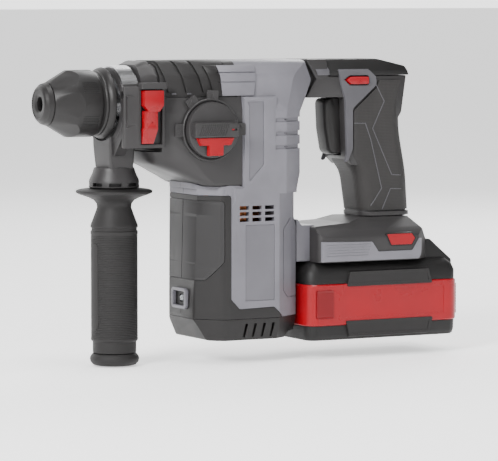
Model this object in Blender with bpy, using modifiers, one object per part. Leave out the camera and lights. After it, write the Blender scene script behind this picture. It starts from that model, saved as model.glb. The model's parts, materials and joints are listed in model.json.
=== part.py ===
"""Cordless rotary hammer with D-handle, slide-on battery and auxiliary side handle.

Lengths are in millimetres. An x is measured backwards from the nose of the chuck, y to the right-hand
side and z up from the spindle axis. at() turns such a place into metres in the object's frame, whose
origin is the middle of the face that a tool bit rests on.
"""

import math

import bmesh
import bpy
from mathutils import Matrix, Vector

MM = 0.001
BIT_SEAT = 50.0  # from the nose back to the face that a bit's shank rests on
GAP = 0.35  # between pieces that touch
ARC_STEP = math.radians(24)  # a rounded corner turns this much from point to point
ROUND = 24  # sides of a turned piece

# Chuck and hammer tube
TOOL_BORE = 5.2
GUIDE_BORE = 8.4
TUBE_BORE = 10.3
SPINDLE_R = 12.5
SLEEVE_R = 23.7
NECK_R = 25.2
NECK_END = 69.5  # where the neck meets the gear case
SWING_R = 33.2  # the side handle sweeps outside this radius
SWING_END = 82.4

# Gears: the pinion on the rotor drives one gear behind it and one in front of it
MOTOR_X = 150.0
SHAFT_SPACING = 22.0
CRANK_X = MOTOR_X + SHAFT_SPACING
BEVEL_X = MOTOR_X - SHAFT_SPACING
PINION_TEETH = 8
GEAR_TEETH = 27
BEVEL_TEETH = 9
CROWN_TEETH = 15
GEAR_Z = (-38.0, -31.0)
CRANK_THROW = 8.0
ROD_LENGTH = 56.0

# Body
TOP = 30.0
HALF_WIDTH = 37.0
WALL = 2.6
CASE_REAR = 143.6
CASE_BOTTOM = -60.0
MOTOR_FRONT = 113.0
MOTOR_REAR = 196.5
CAP_TOP = -155.8  # joint between the motor housing and its end cap
BODY_BOTTOM = -171.5
BUMPER = (84.0, 133.0, 4.0)  # front and rear of the rubber bumper, and its lower edge
BUMPER_SKIN = 2.4  # how deep the bumper's seat goes into the gear case
COVER = (134.5, -150.0, -66.8)  # the front cover's rear edge, bottom and top
COVER_SKIN = 1.8

# Handle, foot and battery
HANDLE_HALF = 17.0
FOOT_HALF = 37.0
FOOT_BOTTOM = -118.0
RAIL_HALF = 22.0  # the web of the battery's rail
FLANGE_HALF = 26.0  # its flange, which the foot hooks under
RAIL_FRONT = 227.5
PACK_FRONT = 197.8
PACK_REAR = 327.4
PACK_HALF = 37.0
PACK_BOTTOM = -175.2
BAND_Z = (-164.2, -134.0)
CELL_R = 9.0
CELL_LENGTH = 64.0

# Side handle
GRIP_X = 59.3
KNOB = (117.0, -19.0)  # x and z of the mode knob's axis

AXES = {
    "X": Matrix(((0, 0, 1), (1, 0, 0), (0, 1, 0))).to_4x4(),
    "Y": Matrix(((1, 0, 0), (0, 0, -1), (0, 1, 0))).to_4x4(),
    "Z": Matrix.Identity(4),
}
SPIN = {
    "X": Matrix.Rotation(math.radians(90), 4, "Y"),
    "Y": Matrix.Rotation(math.radians(-90), 4, "X"),
    "Z": Matrix.Identity(4),
}

LIGHT_GREY = ((0.30, 0.29, 0.31), 0.45, 0.0)
DARK_GREY = ((0.055, 0.052, 0.052), 0.5, 0.0)
BLACK = ((0.02, 0.02, 0.02), 0.55, 0.0)
RUBBER = ((0.035, 0.034, 0.034), 0.8, 0.0)
RED = ((0.62, 0.035, 0.06), 0.4, 0.0)
STEEL = ((0.55, 0.55, 0.56), 0.3, 1.0)
DARK_STEEL = ((0.25, 0.25, 0.26), 0.35, 1.0)
COPPER = ((0.70, 0.32, 0.15), 0.4, 1.0)
BOARD = ((0.03, 0.20, 0.08), 0.5, 0.0)
CELL_WRAP = ((0.10, 0.35, 0.45), 0.4, 0.0)
CLEAR = ((0.85, 0.87, 0.90), 0.1, 0.0)


# ---------------------------------------------------------------- scene and helpers


def clear_scene():
    for obj in list(bpy.data.objects):
        bpy.data.objects.remove(obj, do_unlink=True)


def collection(name):
    made = bpy.data.collections.new(name)
    bpy.context.scene.collection.children.link(made)
    return made


clear_scene()
PARTS = collection("rotary_hammer")
CUTTERS = collection("cutters")


def at(x, y, z):
    return Vector(((x - BIT_SEAT) * MM, y * MM, z * MM))


def scaled(point):
    return Vector(point) * MM


def adopt(mesh, name):
    obj = bpy.data.objects.new(name, mesh)
    PARTS.objects.link(obj)
    return obj


def finish(obj, look, smooth=False):
    """Gives a piece its material, and smooth shading if it is round."""
    colour, roughness, metallic = look
    material = bpy.data.materials.new(obj.name)
    material.use_nodes = True
    shader = material.node_tree.nodes["Principled BSDF"]
    shader.inputs["Base Color"].default_value = (*colour, 1.0)
    shader.inputs["Roughness"].default_value = roughness
    shader.inputs["Metallic"].default_value = metallic
    obj.data.materials.append(material)
    if smooth:
        obj.data.shade_smooth()
        obj.data.set_sharp_from_angle(angle=math.radians(35))
    return obj


def hide_as_cutter(obj):
    for holder in list(obj.users_collection):
        holder.objects.unlink(obj)
    CUTTERS.objects.link(obj)
    obj.hide_render = True
    obj.display_type = "WIRE"
    return obj


def combine(obj, other, operation):
    step = obj.modifiers.new(f"{operation.lower()}_{other.name}", "BOOLEAN")
    step.operation = operation
    step.object = hide_as_cutter(other)
    return obj


def cut(obj, *others):
    for other in others:
        combine(obj, other, "DIFFERENCE")
    return obj


def fuse(obj, *others):
    for other in others:
        combine(obj, other, "UNION")
    return obj


def keep(obj, *others):
    for other in others:
        combine(obj, other, "INTERSECT")
    return obj


def round_edges(obj, width, segments=2, angle=40):
    step = obj.modifiers.new("round_edges", "BEVEL")
    step.width = width * MM
    step.segments = segments
    step.limit_method = "ANGLE"
    step.angle_limit = math.radians(angle)
    return obj


def set_origin(obj, place):
    """Moves the object's origin, and leaves its shape where it is."""
    obj.data.transform(Matrix.Translation(-place))
    obj.location = place
    return obj


def box(name, low, high):
    """A block between two opposite corners."""
    bm = bmesh.new()
    bmesh.ops.create_cube(bm, size=1.0)
    low, high = at(*low), at(*high)
    bm.transform(Matrix.Translation((low + high) / 2) @ Matrix.Diagonal((*(high - low), 1.0)))
    mesh = bpy.data.meshes.new(name)
    bm.to_mesh(mesh)
    bm.free()
    return adopt(mesh, name)


def rod(name, axis, start, length, radius, sides=ROUND):
    """A cylinder that leaves the place `start` along an axis."""
    bm = bmesh.new()
    bmesh.ops.create_cone(
        bm,
        cap_ends=True,
        segments=sides,
        radius1=radius * MM,
        radius2=radius * MM,
        depth=length * MM,
    )
    bm.transform(Matrix.Translation((0, 0, length * MM / 2)))
    bm.transform(Matrix.Translation(at(*start)) @ SPIN[axis])
    mesh = bpy.data.meshes.new(name)
    bm.to_mesh(mesh)
    bm.free()
    return adopt(mesh, name)


def turned(name, profile, axis, centre, sides=ROUND, closed=True):
    """Turns a profile of (along, radius) about an axis.

    Its points go up the outer side, then down the inner one.
    """
    points = [(radius * MM, 0.0, along * MM) for along, radius in reversed(profile)]
    edges = [(i, i + 1) for i in range(len(points) - 1)]
    if closed:
        edges.append((len(points) - 1, 0))
    mesh = bpy.data.meshes.new(name)
    mesh.from_pydata(points, edges, [])
    obj = adopt(mesh, name)
    obj.matrix_world = Matrix.Translation(at(*centre)) @ SPIN[axis]
    screw = obj.modifiers.new("turn", "SCREW")
    screw.axis = "Z"
    screw.steps = sides
    screw.render_steps = sides
    screw.use_merge_vertices = True
    screw.merge_threshold = 1e-6
    return obj


def along_spindle(name, profile, sides=ROUND, closed=True):
    """A piece turned about the spindle's axis, with its profile's places counted from the nose."""
    return turned(name, profile, "X", (0, 0, 0), sides, closed)


def rounded(corners):
    """An outline's corners (u, v, radius) as points, with an arc at each corner that has a radius."""
    points = []
    for i, (u, v, radius) in enumerate(corners):
        corner = Vector((u, v))
        back = (Vector(corners[i - 1][:2]) - corner).normalized()
        on = (Vector(corners[(i + 1) % len(corners)][:2]) - corner).normalized()
        between = back.angle(on)
        if radius <= 0 or between > math.radians(176):
            points.append(corner)
            continue
        start = corner + back * radius / math.tan(between / 2)
        centre = corner + (back + on).normalized() * radius / math.sin(between / 2)
        turn = math.pi - between
        if back.x * on.y - back.y * on.x > 0:
            turn = -turn
        steps = max(1, round(abs(turn) / ARC_STEP))
        for k in range(steps + 1):
            points.append(centre + Matrix.Rotation(turn * k / steps, 2) @ (start - centre))
    return points


def inset(corners, gap):
    """The outline drawn `gap` further in, with its corner radii to match."""
    area = sum(a[0] * b[1] - b[0] * a[1] for a, b in zip(corners, corners[1:] + corners[:1]))
    side = 1 if area > 0 else -1
    found = []
    for i, (u, v, radius) in enumerate(corners):
        corner = Vector((u, v))
        back = (corner - Vector(corners[i - 1][:2])).normalized()
        on = (Vector(corners[(i + 1) % len(corners)][:2]) - corner).normalized()
        inward = Vector((-back.y, back.x)) * side
        inward_on = Vector((-on.y, on.x)) * side
        moved = corner + (inward + inward_on) * gap / (1 + inward.dot(inward_on))
        convex = (back.x * on.y - back.y * on.x) * side > 0
        less = radius - gap if convex else radius + gap
        found.append((moved.x, moved.y, max(less, 0.0) if radius > 0 else 0.0))
    return found


def prism(name, corners, axis, low, high):
    """An outline with corners (u, v, radius), as thick as from low to high along an axis.

    The outline lies in y and z for the axis X, in x and z for Y, and in x and y for Z.
    """
    curve = bpy.data.curves.new(name, "CURVE")
    curve.dimensions = "2D"
    curve.fill_mode = "BOTH"
    curve.extrude = (high - low) / 2 * MM
    points = rounded(corners)
    spline = curve.splines.new("POLY")
    spline.points.add(len(points) - 1)
    shift = Vector((0.0, 0.0)) if axis == "X" else Vector((-BIT_SEAT, 0.0))
    for knot, point in zip(spline.points, points):
        knot.co = (*((point + shift) * MM), 0.0, 1.0)
    spline.use_cyclic_u = True
    middle = (low + high) / 2 * MM
    place = {
        "X": Vector((middle - BIT_SEAT * MM, 0, 0)),
        "Y": Vector((0, middle, 0)),
        "Z": Vector((0, 0, middle)),
    }[axis]
    return as_mesh(curve, Matrix.Translation(place) @ AXES[axis])


def as_mesh(curve, matrix):
    """A curve's own shape as a closed mesh object of the same name."""
    name = curve.name
    guide = bpy.data.objects.new(name + "_guide", curve)
    PARTS.objects.link(guide)
    bpy.context.view_layer.update()
    graph = bpy.context.evaluated_depsgraph_get()
    mesh = bpy.data.meshes.new_from_object(guide.evaluated_get(graph))
    bpy.data.objects.remove(guide)
    bm = bmesh.new()
    bm.from_mesh(mesh)
    bmesh.ops.remove_doubles(bm, verts=bm.verts, dist=1e-7)
    bmesh.ops.recalc_face_normals(bm, faces=bm.faces)
    bm.transform(matrix)
    bm.to_mesh(mesh)
    bm.free()
    mesh.name = name
    mesh.materials.clear()
    return adopt(mesh, name)


def coil(name, start, end, radius, wire, turns, look):
    """A spring along X, with one closing turn at each end."""
    curve = bpy.data.curves.new(name, "CURVE")
    curve.dimensions = "3D"
    curve.bevel_depth = wire * MM
    curve.bevel_resolution = 0
    curve.use_fill_caps = True
    per_turn = 10
    count = turns * per_turn
    spline = curve.splines.new("POLY")
    spline.points.add(count)
    for i, knot in enumerate(spline.points):
        share = i / count
        place = at(start[0] + (end - start[0]) * share, start[1], start[2])
        turn = math.tau * turns * share
        swing = scaled((0.0, radius * math.cos(turn), radius * math.sin(turn)))
        knot.co = (*(place + swing), 1.0)
    return finish(as_mesh(curve, Matrix.Identity(4)), look, smooth=True)


def gear_corners(teeth, root, tip, centre, phase=0.0, thickness=0.40):
    """A spur gear's outline.

    phase turns it, in teeth; thickness is a tooth's share of the pitch at its root.
    """
    corners = []
    pitch = math.tau / teeth
    for i in range(teeth):
        middle = (i + phase) * pitch
        for share, radius in ((-0.5, root), (-0.22, tip), (0.22, tip), (0.5, root)):
            angle = middle + share * thickness * 1.25 * pitch
            corners.append(
                (centre[0] + radius * math.cos(angle), centre[1] + radius * math.sin(angle), 0.0),
            )
    return corners


# ---------------------------------------------------------------- chuck and hammer train


def make_chuck():
    cap = along_spindle(
        "dust_cap",
        [
            (0.0, 10.9),
            (1.0, 12.8),
            (2.4, 13.9),
            (6.3, 15.4),
            (6.3, 9.0),
            (4.0, 9.0),
            (4.0, TOOL_BORE),
            (0.0, TOOL_BORE),
        ],
    )
    finish(cap, RUBBER, smooth=True)

    sleeve = along_spindle(
        "locking_sleeve",
        [
            (6.7, 15.6),
            (21.1, SLEEVE_R),
            (40.2, SLEEVE_R),
            (41.2, 22.9),
            (43.2, 22.7),
            (44.6, 23.4),
            (48.2, 25.4),
            (50.0, 25.6),
            (50.0, 22.0),
            (27.0, 20.0),
            (27.0, 13.2),
            (12.0, 13.2),
            (12.0, 9.2),
            (6.7, 9.2),
        ],
    )
    for k in range(6):
        turn = Matrix.Rotation(math.radians(60 * k + 30), 4, "X")
        flat = box(f"sleeve_flat_{k}", (BIT_SEAT - 16.0, -14.0, 0.0), (BIT_SEAT + 16.0, 14.0, 10.0))
        tilt = Matrix.Rotation(math.radians(-24), 4, "Y")
        flat.matrix_world = turn @ Matrix.Translation(at(14.0, 0.0, 18.6)) @ tilt
        cut(sleeve, flat)
    finish(sleeve, DARK_GREY, smooth=True)

    coil("sleeve_spring", (28.2, 0.0, 0.0), 48.3, 15.8, 0.9, 5, STEEL)

    spindle = along_spindle(
        "spindle",
        [
            (6.7, 8.6),
            (30.0, 8.6),
            (30.0, SPINDLE_R),
            (49.6, SPINDLE_R),
            (49.6, 18.5),
            (52.0, 18.5),
            (52.0, SPINDLE_R),
            (118.0, SPINDLE_R),
            (118.0, TUBE_BORE),
            (76.5, TUBE_BORE),
            (76.5, GUIDE_BORE),
            (58.0, GUIDE_BORE),
            (58.0, TOOL_BORE),
            (6.7, TOOL_BORE),
        ],
    )
    finish(spindle, STEEL, smooth=True)

    bolt = along_spindle(
        "impact_bolt",
        [
            (50.0, 0.0),
            (50.0, 4.9),
            (59.5, 4.9),
            (59.5, 8.1),
            (67.5, 8.1),
            (67.5, 6.0),
            (73.5, 6.0),
            (73.5, 0.0),
        ],
        closed=False,
    )
    finish(bolt, DARK_STEEL, smooth=True)

    striker = along_spindle(
        "striker",
        [(78.5, 0.0), (78.5, 6.5), (80.5, 6.5), (80.5, 10.0), (92.5, 10.0), (92.5, 0.0)],
        closed=False,
    )
    finish(striker, DARK_STEEL, smooth=True)


def make_piston():
    wrist_x = CRANK_X - CRANK_THROW - ROD_LENGTH
    piston = along_spindle(
        "piston",
        [
            (wrist_x - 10.0, 0.0),
            (wrist_x - 10.0, 10.0),
            (wrist_x + 6.0, 10.0),
            (wrist_x + 6.0, 8.0),
            (wrist_x - 6.5, 8.0),
            (wrist_x - 6.5, 0.0),
        ],
        closed=False,
    )
    fuse(piston, rod("wrist_pin", "Z", (wrist_x, 0.0, -9.0), 18.0, 2.0, 16))
    finish(piston, STEEL, smooth=True)

    crank_pin_x = CRANK_X - CRANK_THROW
    blade = [
        (wrist_x, -3.0, 0.0),
        (crank_pin_x, -4.2, 0.0),
        (crank_pin_x, 4.2, 0.0),
        (wrist_x, 3.0, 0.0),
    ]
    link = prism("connecting_rod", blade, "Z", -3.0, 3.0)
    set_origin(link, at(wrist_x, 0.0, 0.0))
    fuse(
        link,
        rod("rod_small_end", "Z", (wrist_x, 0.0, -3.0), 6.0, 4.6, 20),
        rod("rod_big_end", "Z", (crank_pin_x, 0.0, -3.0), 6.0, 6.6, 20),
    )
    cut(
        link,
        rod("rod_small_bore", "Z", (wrist_x, 0.0, -5.0), 10.0, 2.4, 16),
        rod("rod_big_bore", "Z", (crank_pin_x, 0.0, -5.0), 10.0, 3.6, 16),
    )
    finish(link, DARK_STEEL)


def make_gears():
    root = SHAFT_SPACING * GEAR_TEETH / (GEAR_TEETH + PINION_TEETH) - 1.35
    tip = root + 2.1
    crank = prism("crank_gear", gear_corners(GEAR_TEETH, root, tip, (CRANK_X, 0.0), 0.0), "Z", *GEAR_Z)
    set_origin(crank, at(CRANK_X, 0.0, 0.0))
    fuse(
        crank,
        rod("crank_disc", "Z", (CRANK_X, 0.0, GEAR_Z[1] - 1.0), 20.0, 12.5, 28),
        rod("crank_pin", "Z", (CRANK_X - CRANK_THROW, 0.0, -14.0), 10.5, 3.0, 16),
        rod("crank_shaft", "Z", (CRANK_X, 0.0, -46.0), 12.0, 4.0, 16),
    )
    finish(crank, STEEL)

    front = prism(
        "bevel_pinion_shaft",
        gear_corners(GEAR_TEETH, root, tip, (BEVEL_X, 0.0), 0.5),
        "Z",
        *GEAR_Z,
    )
    set_origin(front, at(BEVEL_X, 0.0, 0.0))
    pinion = prism(
        "bevel_pinion",
        gear_corners(BEVEL_TEETH, 9.0, 13.0, (BEVEL_X, 0.0), 0.0, 0.34),
        "Z",
        -22.0,
        -16.2,
    )
    fuse(
        front,
        pinion,
        rod("bevel_shaft", "Z", (BEVEL_X, 0.0, -46.0), 33.0, 4.0, 16),
        rod("bevel_hub", "Z", (BEVEL_X, 0.0, GEAR_Z[1] - 1.0), 12.0, 7.0, 20),
    )
    finish(front, STEEL)

    crown = along_spindle(
        "spindle_crown_gear",
        [(110.0, 22.4), (114.0, 22.4), (114.0, SPINDLE_R + GAP), (110.0, SPINDLE_R + GAP)],
        30,
    )
    for k in range(CROWN_TEETH):
        tooth = box(f"crown_tooth_{k}", (113.5, -0.85, -22.0), (117.9, 0.85, -15.6))
        tooth.matrix_world = Matrix.Rotation(math.tau * k / CROWN_TEETH, 4, "X") @ tooth.matrix_world
        fuse(crown, tooth)
    finish(crown, STEEL)

    for name, low, high in (("front_bearing", 57.0, 66.0), ("rear_bearing", 86.0, 95.0)):
        ring = [(low, 19.6), (high, 19.6), (high, SPINDLE_R + GAP), (low, SPINDLE_R + GAP)]
        finish(along_spindle(name, ring), STEEL, smooth=True)

    plate = prism(
        "gear_plate",
        [(112.0, -24.0, 6.0), (190.0, -24.0, 6.0), (190.0, 24.0, 6.0), (112.0, 24.0, 6.0)],
        "Z",
        -45.0,
        -41.0,
    )
    for x in (BEVEL_X, MOTOR_X, CRANK_X):
        cut(plate, rod(f"plate_hole_{x:.0f}", "Z", (x, 0.0, -50.0), 14.0, 4.5, 20))
    finish(plate, DARK_STEEL)


# ---------------------------------------------------------------- motor


def make_motor():
    root = SHAFT_SPACING * PINION_TEETH / (GEAR_TEETH + PINION_TEETH) - 1.35
    corners = gear_corners(PINION_TEETH, root, root + 2.1, (MOTOR_X, 0.0), 0.0, 0.36)
    shaft = prism("rotor_shaft", corners, "Z", GEAR_Z[0] - 1.0, GEAR_Z[1] + 1.0)
    set_origin(shaft, at(MOTOR_X, 0.0, 0.0))
    fuse(shaft, rod("motor_axle", "Z", (MOTOR_X, 0.0, -152.0), 114.0, 3.9, 16))
    finish(shaft, STEEL)

    core = turned(
        "rotor_core",
        [(-114.0, 15.0), (-70.0, 15.0), (-70.0, 4.3), (-114.0, 4.3)],
        "Z",
        (MOTOR_X, 0.0, 0.0),
    )
    finish(core, DARK_STEEL, smooth=True)

    fan = turned(
        "cooling_fan",
        [(-124.0, 26.0), (-122.4, 26.0), (-122.4, 9.0), (-118.0, 7.0), (-118.0, 4.3), (-124.0, 4.3)],
        "Z",
        (MOTOR_X, 0.0, 0.0),
    )
    for k in range(9):
        blade = box(f"fan_blade_{k}", (BIT_SEAT + 10.0, -0.7, -131.0), (BIT_SEAT + 25.0, 0.7, -123.5))
        blade.matrix_world = (
            Matrix.Translation(at(MOTOR_X, 0.0, 0.0)) @ Matrix.Rotation(
                math.tau * k / 9,
                4,
                "Z",
            ) @ blade.matrix_world
        )
        fuse(fan, blade)
    finish(fan, BLACK)

    stator = turned(
        "stator",
        [
            (-113.0, 27.5),
            (-71.0, 27.5),
            (-71.0, 22.0),
            (-66.0, 20.5),
            (-66.0, 15.7),
            (-117.0, 15.7),
            (-117.0, 22.0),
            (-113.0, 22.0),
        ],
        "Z",
        (MOTOR_X, 0.0, 0.0),
    )
    finish(stator, COPPER, smooth=True)

    for name, low in (("upper_motor_bearing", -58.0), ("lower_motor_bearing", -150.0)):
        ring = [(low, 11.0), (low + 7.0, 11.0), (low + 7.0, 4.3), (low, 4.3)]
        finish(turned(name, ring, "Z", (MOTOR_X, 0.0, 0.0), 24), STEEL, smooth=True)


# ---------------------------------------------------------------- gear case and motor housing


def body_section(gap=0.0):
    """The upper body seen from behind, in y and z."""
    corners = [
        (-HALF_WIDTH, -70.0, 0.0),
        (HALF_WIDTH, -70.0, 0.0),
        (HALF_WIDTH, -6.0, 14.0),
        (31.5, 19.0, 12.0),
        (21.0, TOP, 12.0),
        (-21.0, TOP, 12.0),
        (-31.5, 19.0, 12.0),
        (-HALF_WIDTH, -6.0, 14.0),
    ]
    return inset(corners, gap)


def case_side(gap=0.0):
    """The gear case seen from the side, in x and z."""
    corners = [
        (NECK_END, 27.5, 4.0),
        (75.0, TOP, 3.0),
        (CASE_REAR, TOP, 0.0),
        (CASE_REAR, CASE_BOTTOM, 0.0),
        (118.0, CASE_BOTTOM, 14.0),
        (77.5, -42.5, 8.0),
        (NECK_END, -30.0, 5.0),
    ]
    return inset(corners, gap)


def case_plan(gap=0.0):
    """The gear case seen from above, in x and y."""
    corners = [
        (NECK_END, -27.0, 3.0),
        (82.0, -31.0, 12.0),
        (96.0, -HALF_WIDTH, 14.0),
        (CASE_REAR, -HALF_WIDTH, 0.0),
        (CASE_REAR, HALF_WIDTH, 0.0),
        (96.0, HALF_WIDTH, 14.0),
        (82.0, 31.0, 12.0),
        (NECK_END, 27.0, 3.0),
    ]
    return inset(corners, gap)


def case_solid(name, gap=0.0):
    solid = prism(name, case_side(gap), "Y", -50.0, 50.0)
    keep(
        solid,
        prism(name + "_plan", case_plan(gap), "Z", -90.0, 60.0),
        prism(name + "_section", body_section(gap), "X", 50.0, 160.0),
    )
    return solid


def bumper_zone(name, gap):
    """The room over the gear case's inner skin that the bumper fills."""
    front, rear, low = BUMPER
    corners = [
        (front - gap, low - gap, 0.0),
        (rear + 8.0 + gap, low - gap, 0.0),
        (rear + gap, 40.0, 0.0),
        (front - gap - 6.0, 40.0, 0.0),
    ]
    zone = prism(name, corners, "Y", -60.0, 60.0)
    return cut(zone, case_solid(name + "_core", BUMPER_SKIN))


def make_gear_case():
    case = case_solid("gear_case")
    neck = along_spindle("case_neck", [(55.0, NECK_R), (74.0, NECK_R), (74.0, 20.0), (55.0, 20.0)])
    hollow = case_solid("case_hollow", BUMPER_SKIN + WALL)
    rear_mouth = prism(
        "case_rear_mouth",
        inset([(c[0], max(c[1], CASE_BOTTOM), c[2]) for c in body_section()], BUMPER_SKIN + WALL),
        "X",
        125.0,
        150.0,
    )
    swing = box("swing_room", (60.0, -60.0, -34.5), (SWING_END, 60.0, 60.0))
    cut(swing, rod("swing_core", "X", (40.0, 0.0, 0.0), 60.0, SWING_R, 36))
    cut(
        case,
        hollow,
        rear_mouth,
        box("case_floor_mouth", (114.0, -26.0, -66.0), (150.0, 26.0, -50.0)),
        rod("case_front_bore", "X", (50.0, 0.0, 0.0), 40.0, 20.0),
        swing,
        bumper_zone("bumper_room", GAP),
        rod("knob_shaft_hole", "Y", (KNOB[0], -50.0, KNOB[1]), 25.0, 6.4, 24),
    )
    fuse(case, neck)
    finish(case, DARK_GREY)

    front, rear, low = BUMPER
    bumper = case_solid("top_bumper")
    room = prism(
        "bumper_limits",
        [(front, low, 0.0), (rear + 8.0, low, 0.0), (rear, 40.0, 0.0), (front - 6.0, 40.0, 0.0)],
        "Y",
        -60.0,
        60.0,
    )
    keep(bumper, room)
    cut(
        bumper,
        case_solid("bumper_inside", 2.0),
        box("bumper_swing", (60.0, -60.0, -40.0), (SWING_END, 60.0, 60.0)),
    )
    finish(bumper, RUBBER)


def motor_side(gap=0.0):
    corners = [
        (CASE_REAR + GAP, TOP, 0.0),
        (202.0, TOP, 0.0),
        (211.0, 15.0, 3.0),
        (203.0, 1.5, 2.0),
        (MOTOR_REAR, -8.0, 5.0),
        (MOTOR_REAR, -52.0, 4.0),
        (192.6, -64.0, 3.0),
        (192.6, -84.0, 2.0),
        (MOTOR_REAR, -93.0, 3.0),
        (MOTOR_REAR, CAP_TOP, 0.0),
        (MOTOR_FRONT - 0.4, CAP_TOP, 0.0),
        (MOTOR_FRONT + 2.0, CASE_BOTTOM - GAP, 0.0),
        (CASE_REAR + GAP, CASE_BOTTOM - GAP, 0.0),
    ]
    return inset(corners, gap)


def motor_plan(gap=0.0):
    """The lower body seen from above, in x and y."""
    half = [
        (MOTOR_FRONT - 1.0, 19.0, 9.0),
        (129.0, HALF_WIDTH, 12.0),
        (174.0, HALF_WIDTH, 4.0),
        (188.0, 28.0, 5.0),
        (MOTOR_REAR, 21.0, 3.0),
    ]
    return inset([(x, -y, r) for x, y, r in half] + [(x, y, r) for x, y, r in reversed(half)], gap)


def upper_plan(gap=0.0):
    """The upper body behind the gear case, seen from above."""
    half = [(130.0, HALF_WIDTH, 0.0), (184.0, HALF_WIDTH, 6.0), (197.0, 26.0, 6.0), (214.0, 15.0, 2.0)]
    return inset([(x, -y, r) for x, y, r in half] + [(x, y, r) for x, y, r in reversed(half)], gap)


def motor_solid(name, gap=0.0, low=-300.0):
    """The motor housing's outer form, or its inside when drawn further in."""
    side = prism(name, motor_side(gap), "Y", -50.0, 50.0)
    tower = prism(name + "_tower", motor_plan(gap), "Z", low, CASE_BOTTOM - 2.0)
    upper = prism(name + "_upper", body_section(gap), "X", 130.0, 216.0)
    keep(upper, prism(name + "_upper_plan", upper_plan(gap), "Z", -66.0, 60.0))
    fuse(tower, upper)
    return keep(side, tower)


def cover_limits(name, gap):
    rear, low, high = COVER
    corners = [
        (90.0, high + gap, 0.0),
        (rear + gap, high + gap, 0.0),
        (rear + gap, low + 8.0, 0.0),
        (rear - 8.0 + gap, low - gap, 0.0),
        (90.0, low - gap, 0.0),
    ]
    return prism(name, corners, "Y", -60.0, 60.0)


def make_motor_housing():
    cover = motor_solid("motor_cover")
    keep(cover, cover_limits("cover_edges", 0.0))
    cut(cover, motor_solid("cover_inside", COVER_SKIN))
    finish(cover, DARK_GREY)

    for name, sign in (("motor_housing_left", -1), ("motor_housing_right", 1)):
        shell = motor_solid(name)
        room = cover_limits(name + "_cover_room", GAP)
        cut(room, motor_solid(name + "_cover_core", COVER_SKIN + GAP))
        near, far = sorted((sign * GAP / 2, sign * 60.0))
        half = box(name + "_half", (90.0, near, -200.0), (230.0, far, 60.0))
        hollow = motor_solid(name + "_hollow", COVER_SKIN + WALL)
        cut(
            shell,
            room,
            hollow,
            box(name + "_front_mouth", (130.0, -31.0, -66.0), (150.0, 31.0, 20.0)),
            box(name + "_floor_mouth", (122.0, -28.0, -165.0), (184.0, 28.0, -140.0)),
            box(name + "_roof_mouth", (119.0, -26.0, -80.0), (150.0, 26.0, -50.0)),
            rod(name + "_light_hole", "X", (100.0, 0.0, -142.0), 20.0, 4.0, 16),
        )
        for row in range(3):
            for column in range(3):
                x = 142.6 + 9.6 * column
                z = -75.8 - 4.6 * row
                low, high = sorted((sign * 30.0, sign * 50.0))
                cut(shell, box(f"{name}_vent_{row}{column}", (x, low, z - 2.4), (x + 7.6, high, z)))
        keep(shell, half)
        finish(shell, LIGHT_GREY)

    cap_side = [
        (MOTOR_FRONT - 0.4, CAP_TOP - GAP, 0.0),
        (MOTOR_FRONT + 8.0, BODY_BOTTOM, 3.0),
        (183.0, BODY_BOTTOM, 2.0),
        (187.0, -167.4, 2.0),
        (MOTOR_REAR, -167.0, 2.0),
        (MOTOR_REAR, CAP_TOP - GAP, 0.0),
    ]
    cap = prism("motor_end_cap", cap_side, "Y", -50.0, 50.0)
    keep(cap, prism("cap_plan", motor_plan(), "Z", -190.0, -150.0))
    hollow = prism("cap_hollow", inset(motor_plan(), WALL), "Z", -168.0, -140.0)
    keep(hollow, box("cap_hollow_limits", (122.0, -40.0, -168.0), (184.0, 40.0, -140.0)))
    cut(cap, hollow)
    for k in range(4):
        x = 144.0 + 7.4 * k
        slot = box(f"cap_slot_{k}", (x, -50.0, -169.0), (x + 2.4, -30.0, -158.5))
        slot_right = box(f"cap_slot_right_{k}", (x, 30.0, -169.0), (x + 2.4, 50.0, -158.5))
        cut(cap, slot, slot_right)
    finish(cap, DARK_GREY)


def make_work_light():
    low, high = -149.4, -134.8
    bezel = box("work_light_bezel", (MOTOR_FRONT - 2.4, -11.0, low), (MOTOR_FRONT - 1.3, 11.0, high))
    cut(bezel, box("bezel_window", (100.0, -6.0, low + 3.4), (130.0, 6.0, high - 3.4)))
    finish(bezel, STEEL)
    lens = box(
        "work_light_lens",
        (MOTOR_FRONT - 2.1, -5.6, low + 3.8),
        (MOTOR_FRONT - 1.3, 5.6, high - 3.8),
    )
    finish(lens, CLEAR)


# ---------------------------------------------------------------- mode knob


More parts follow.
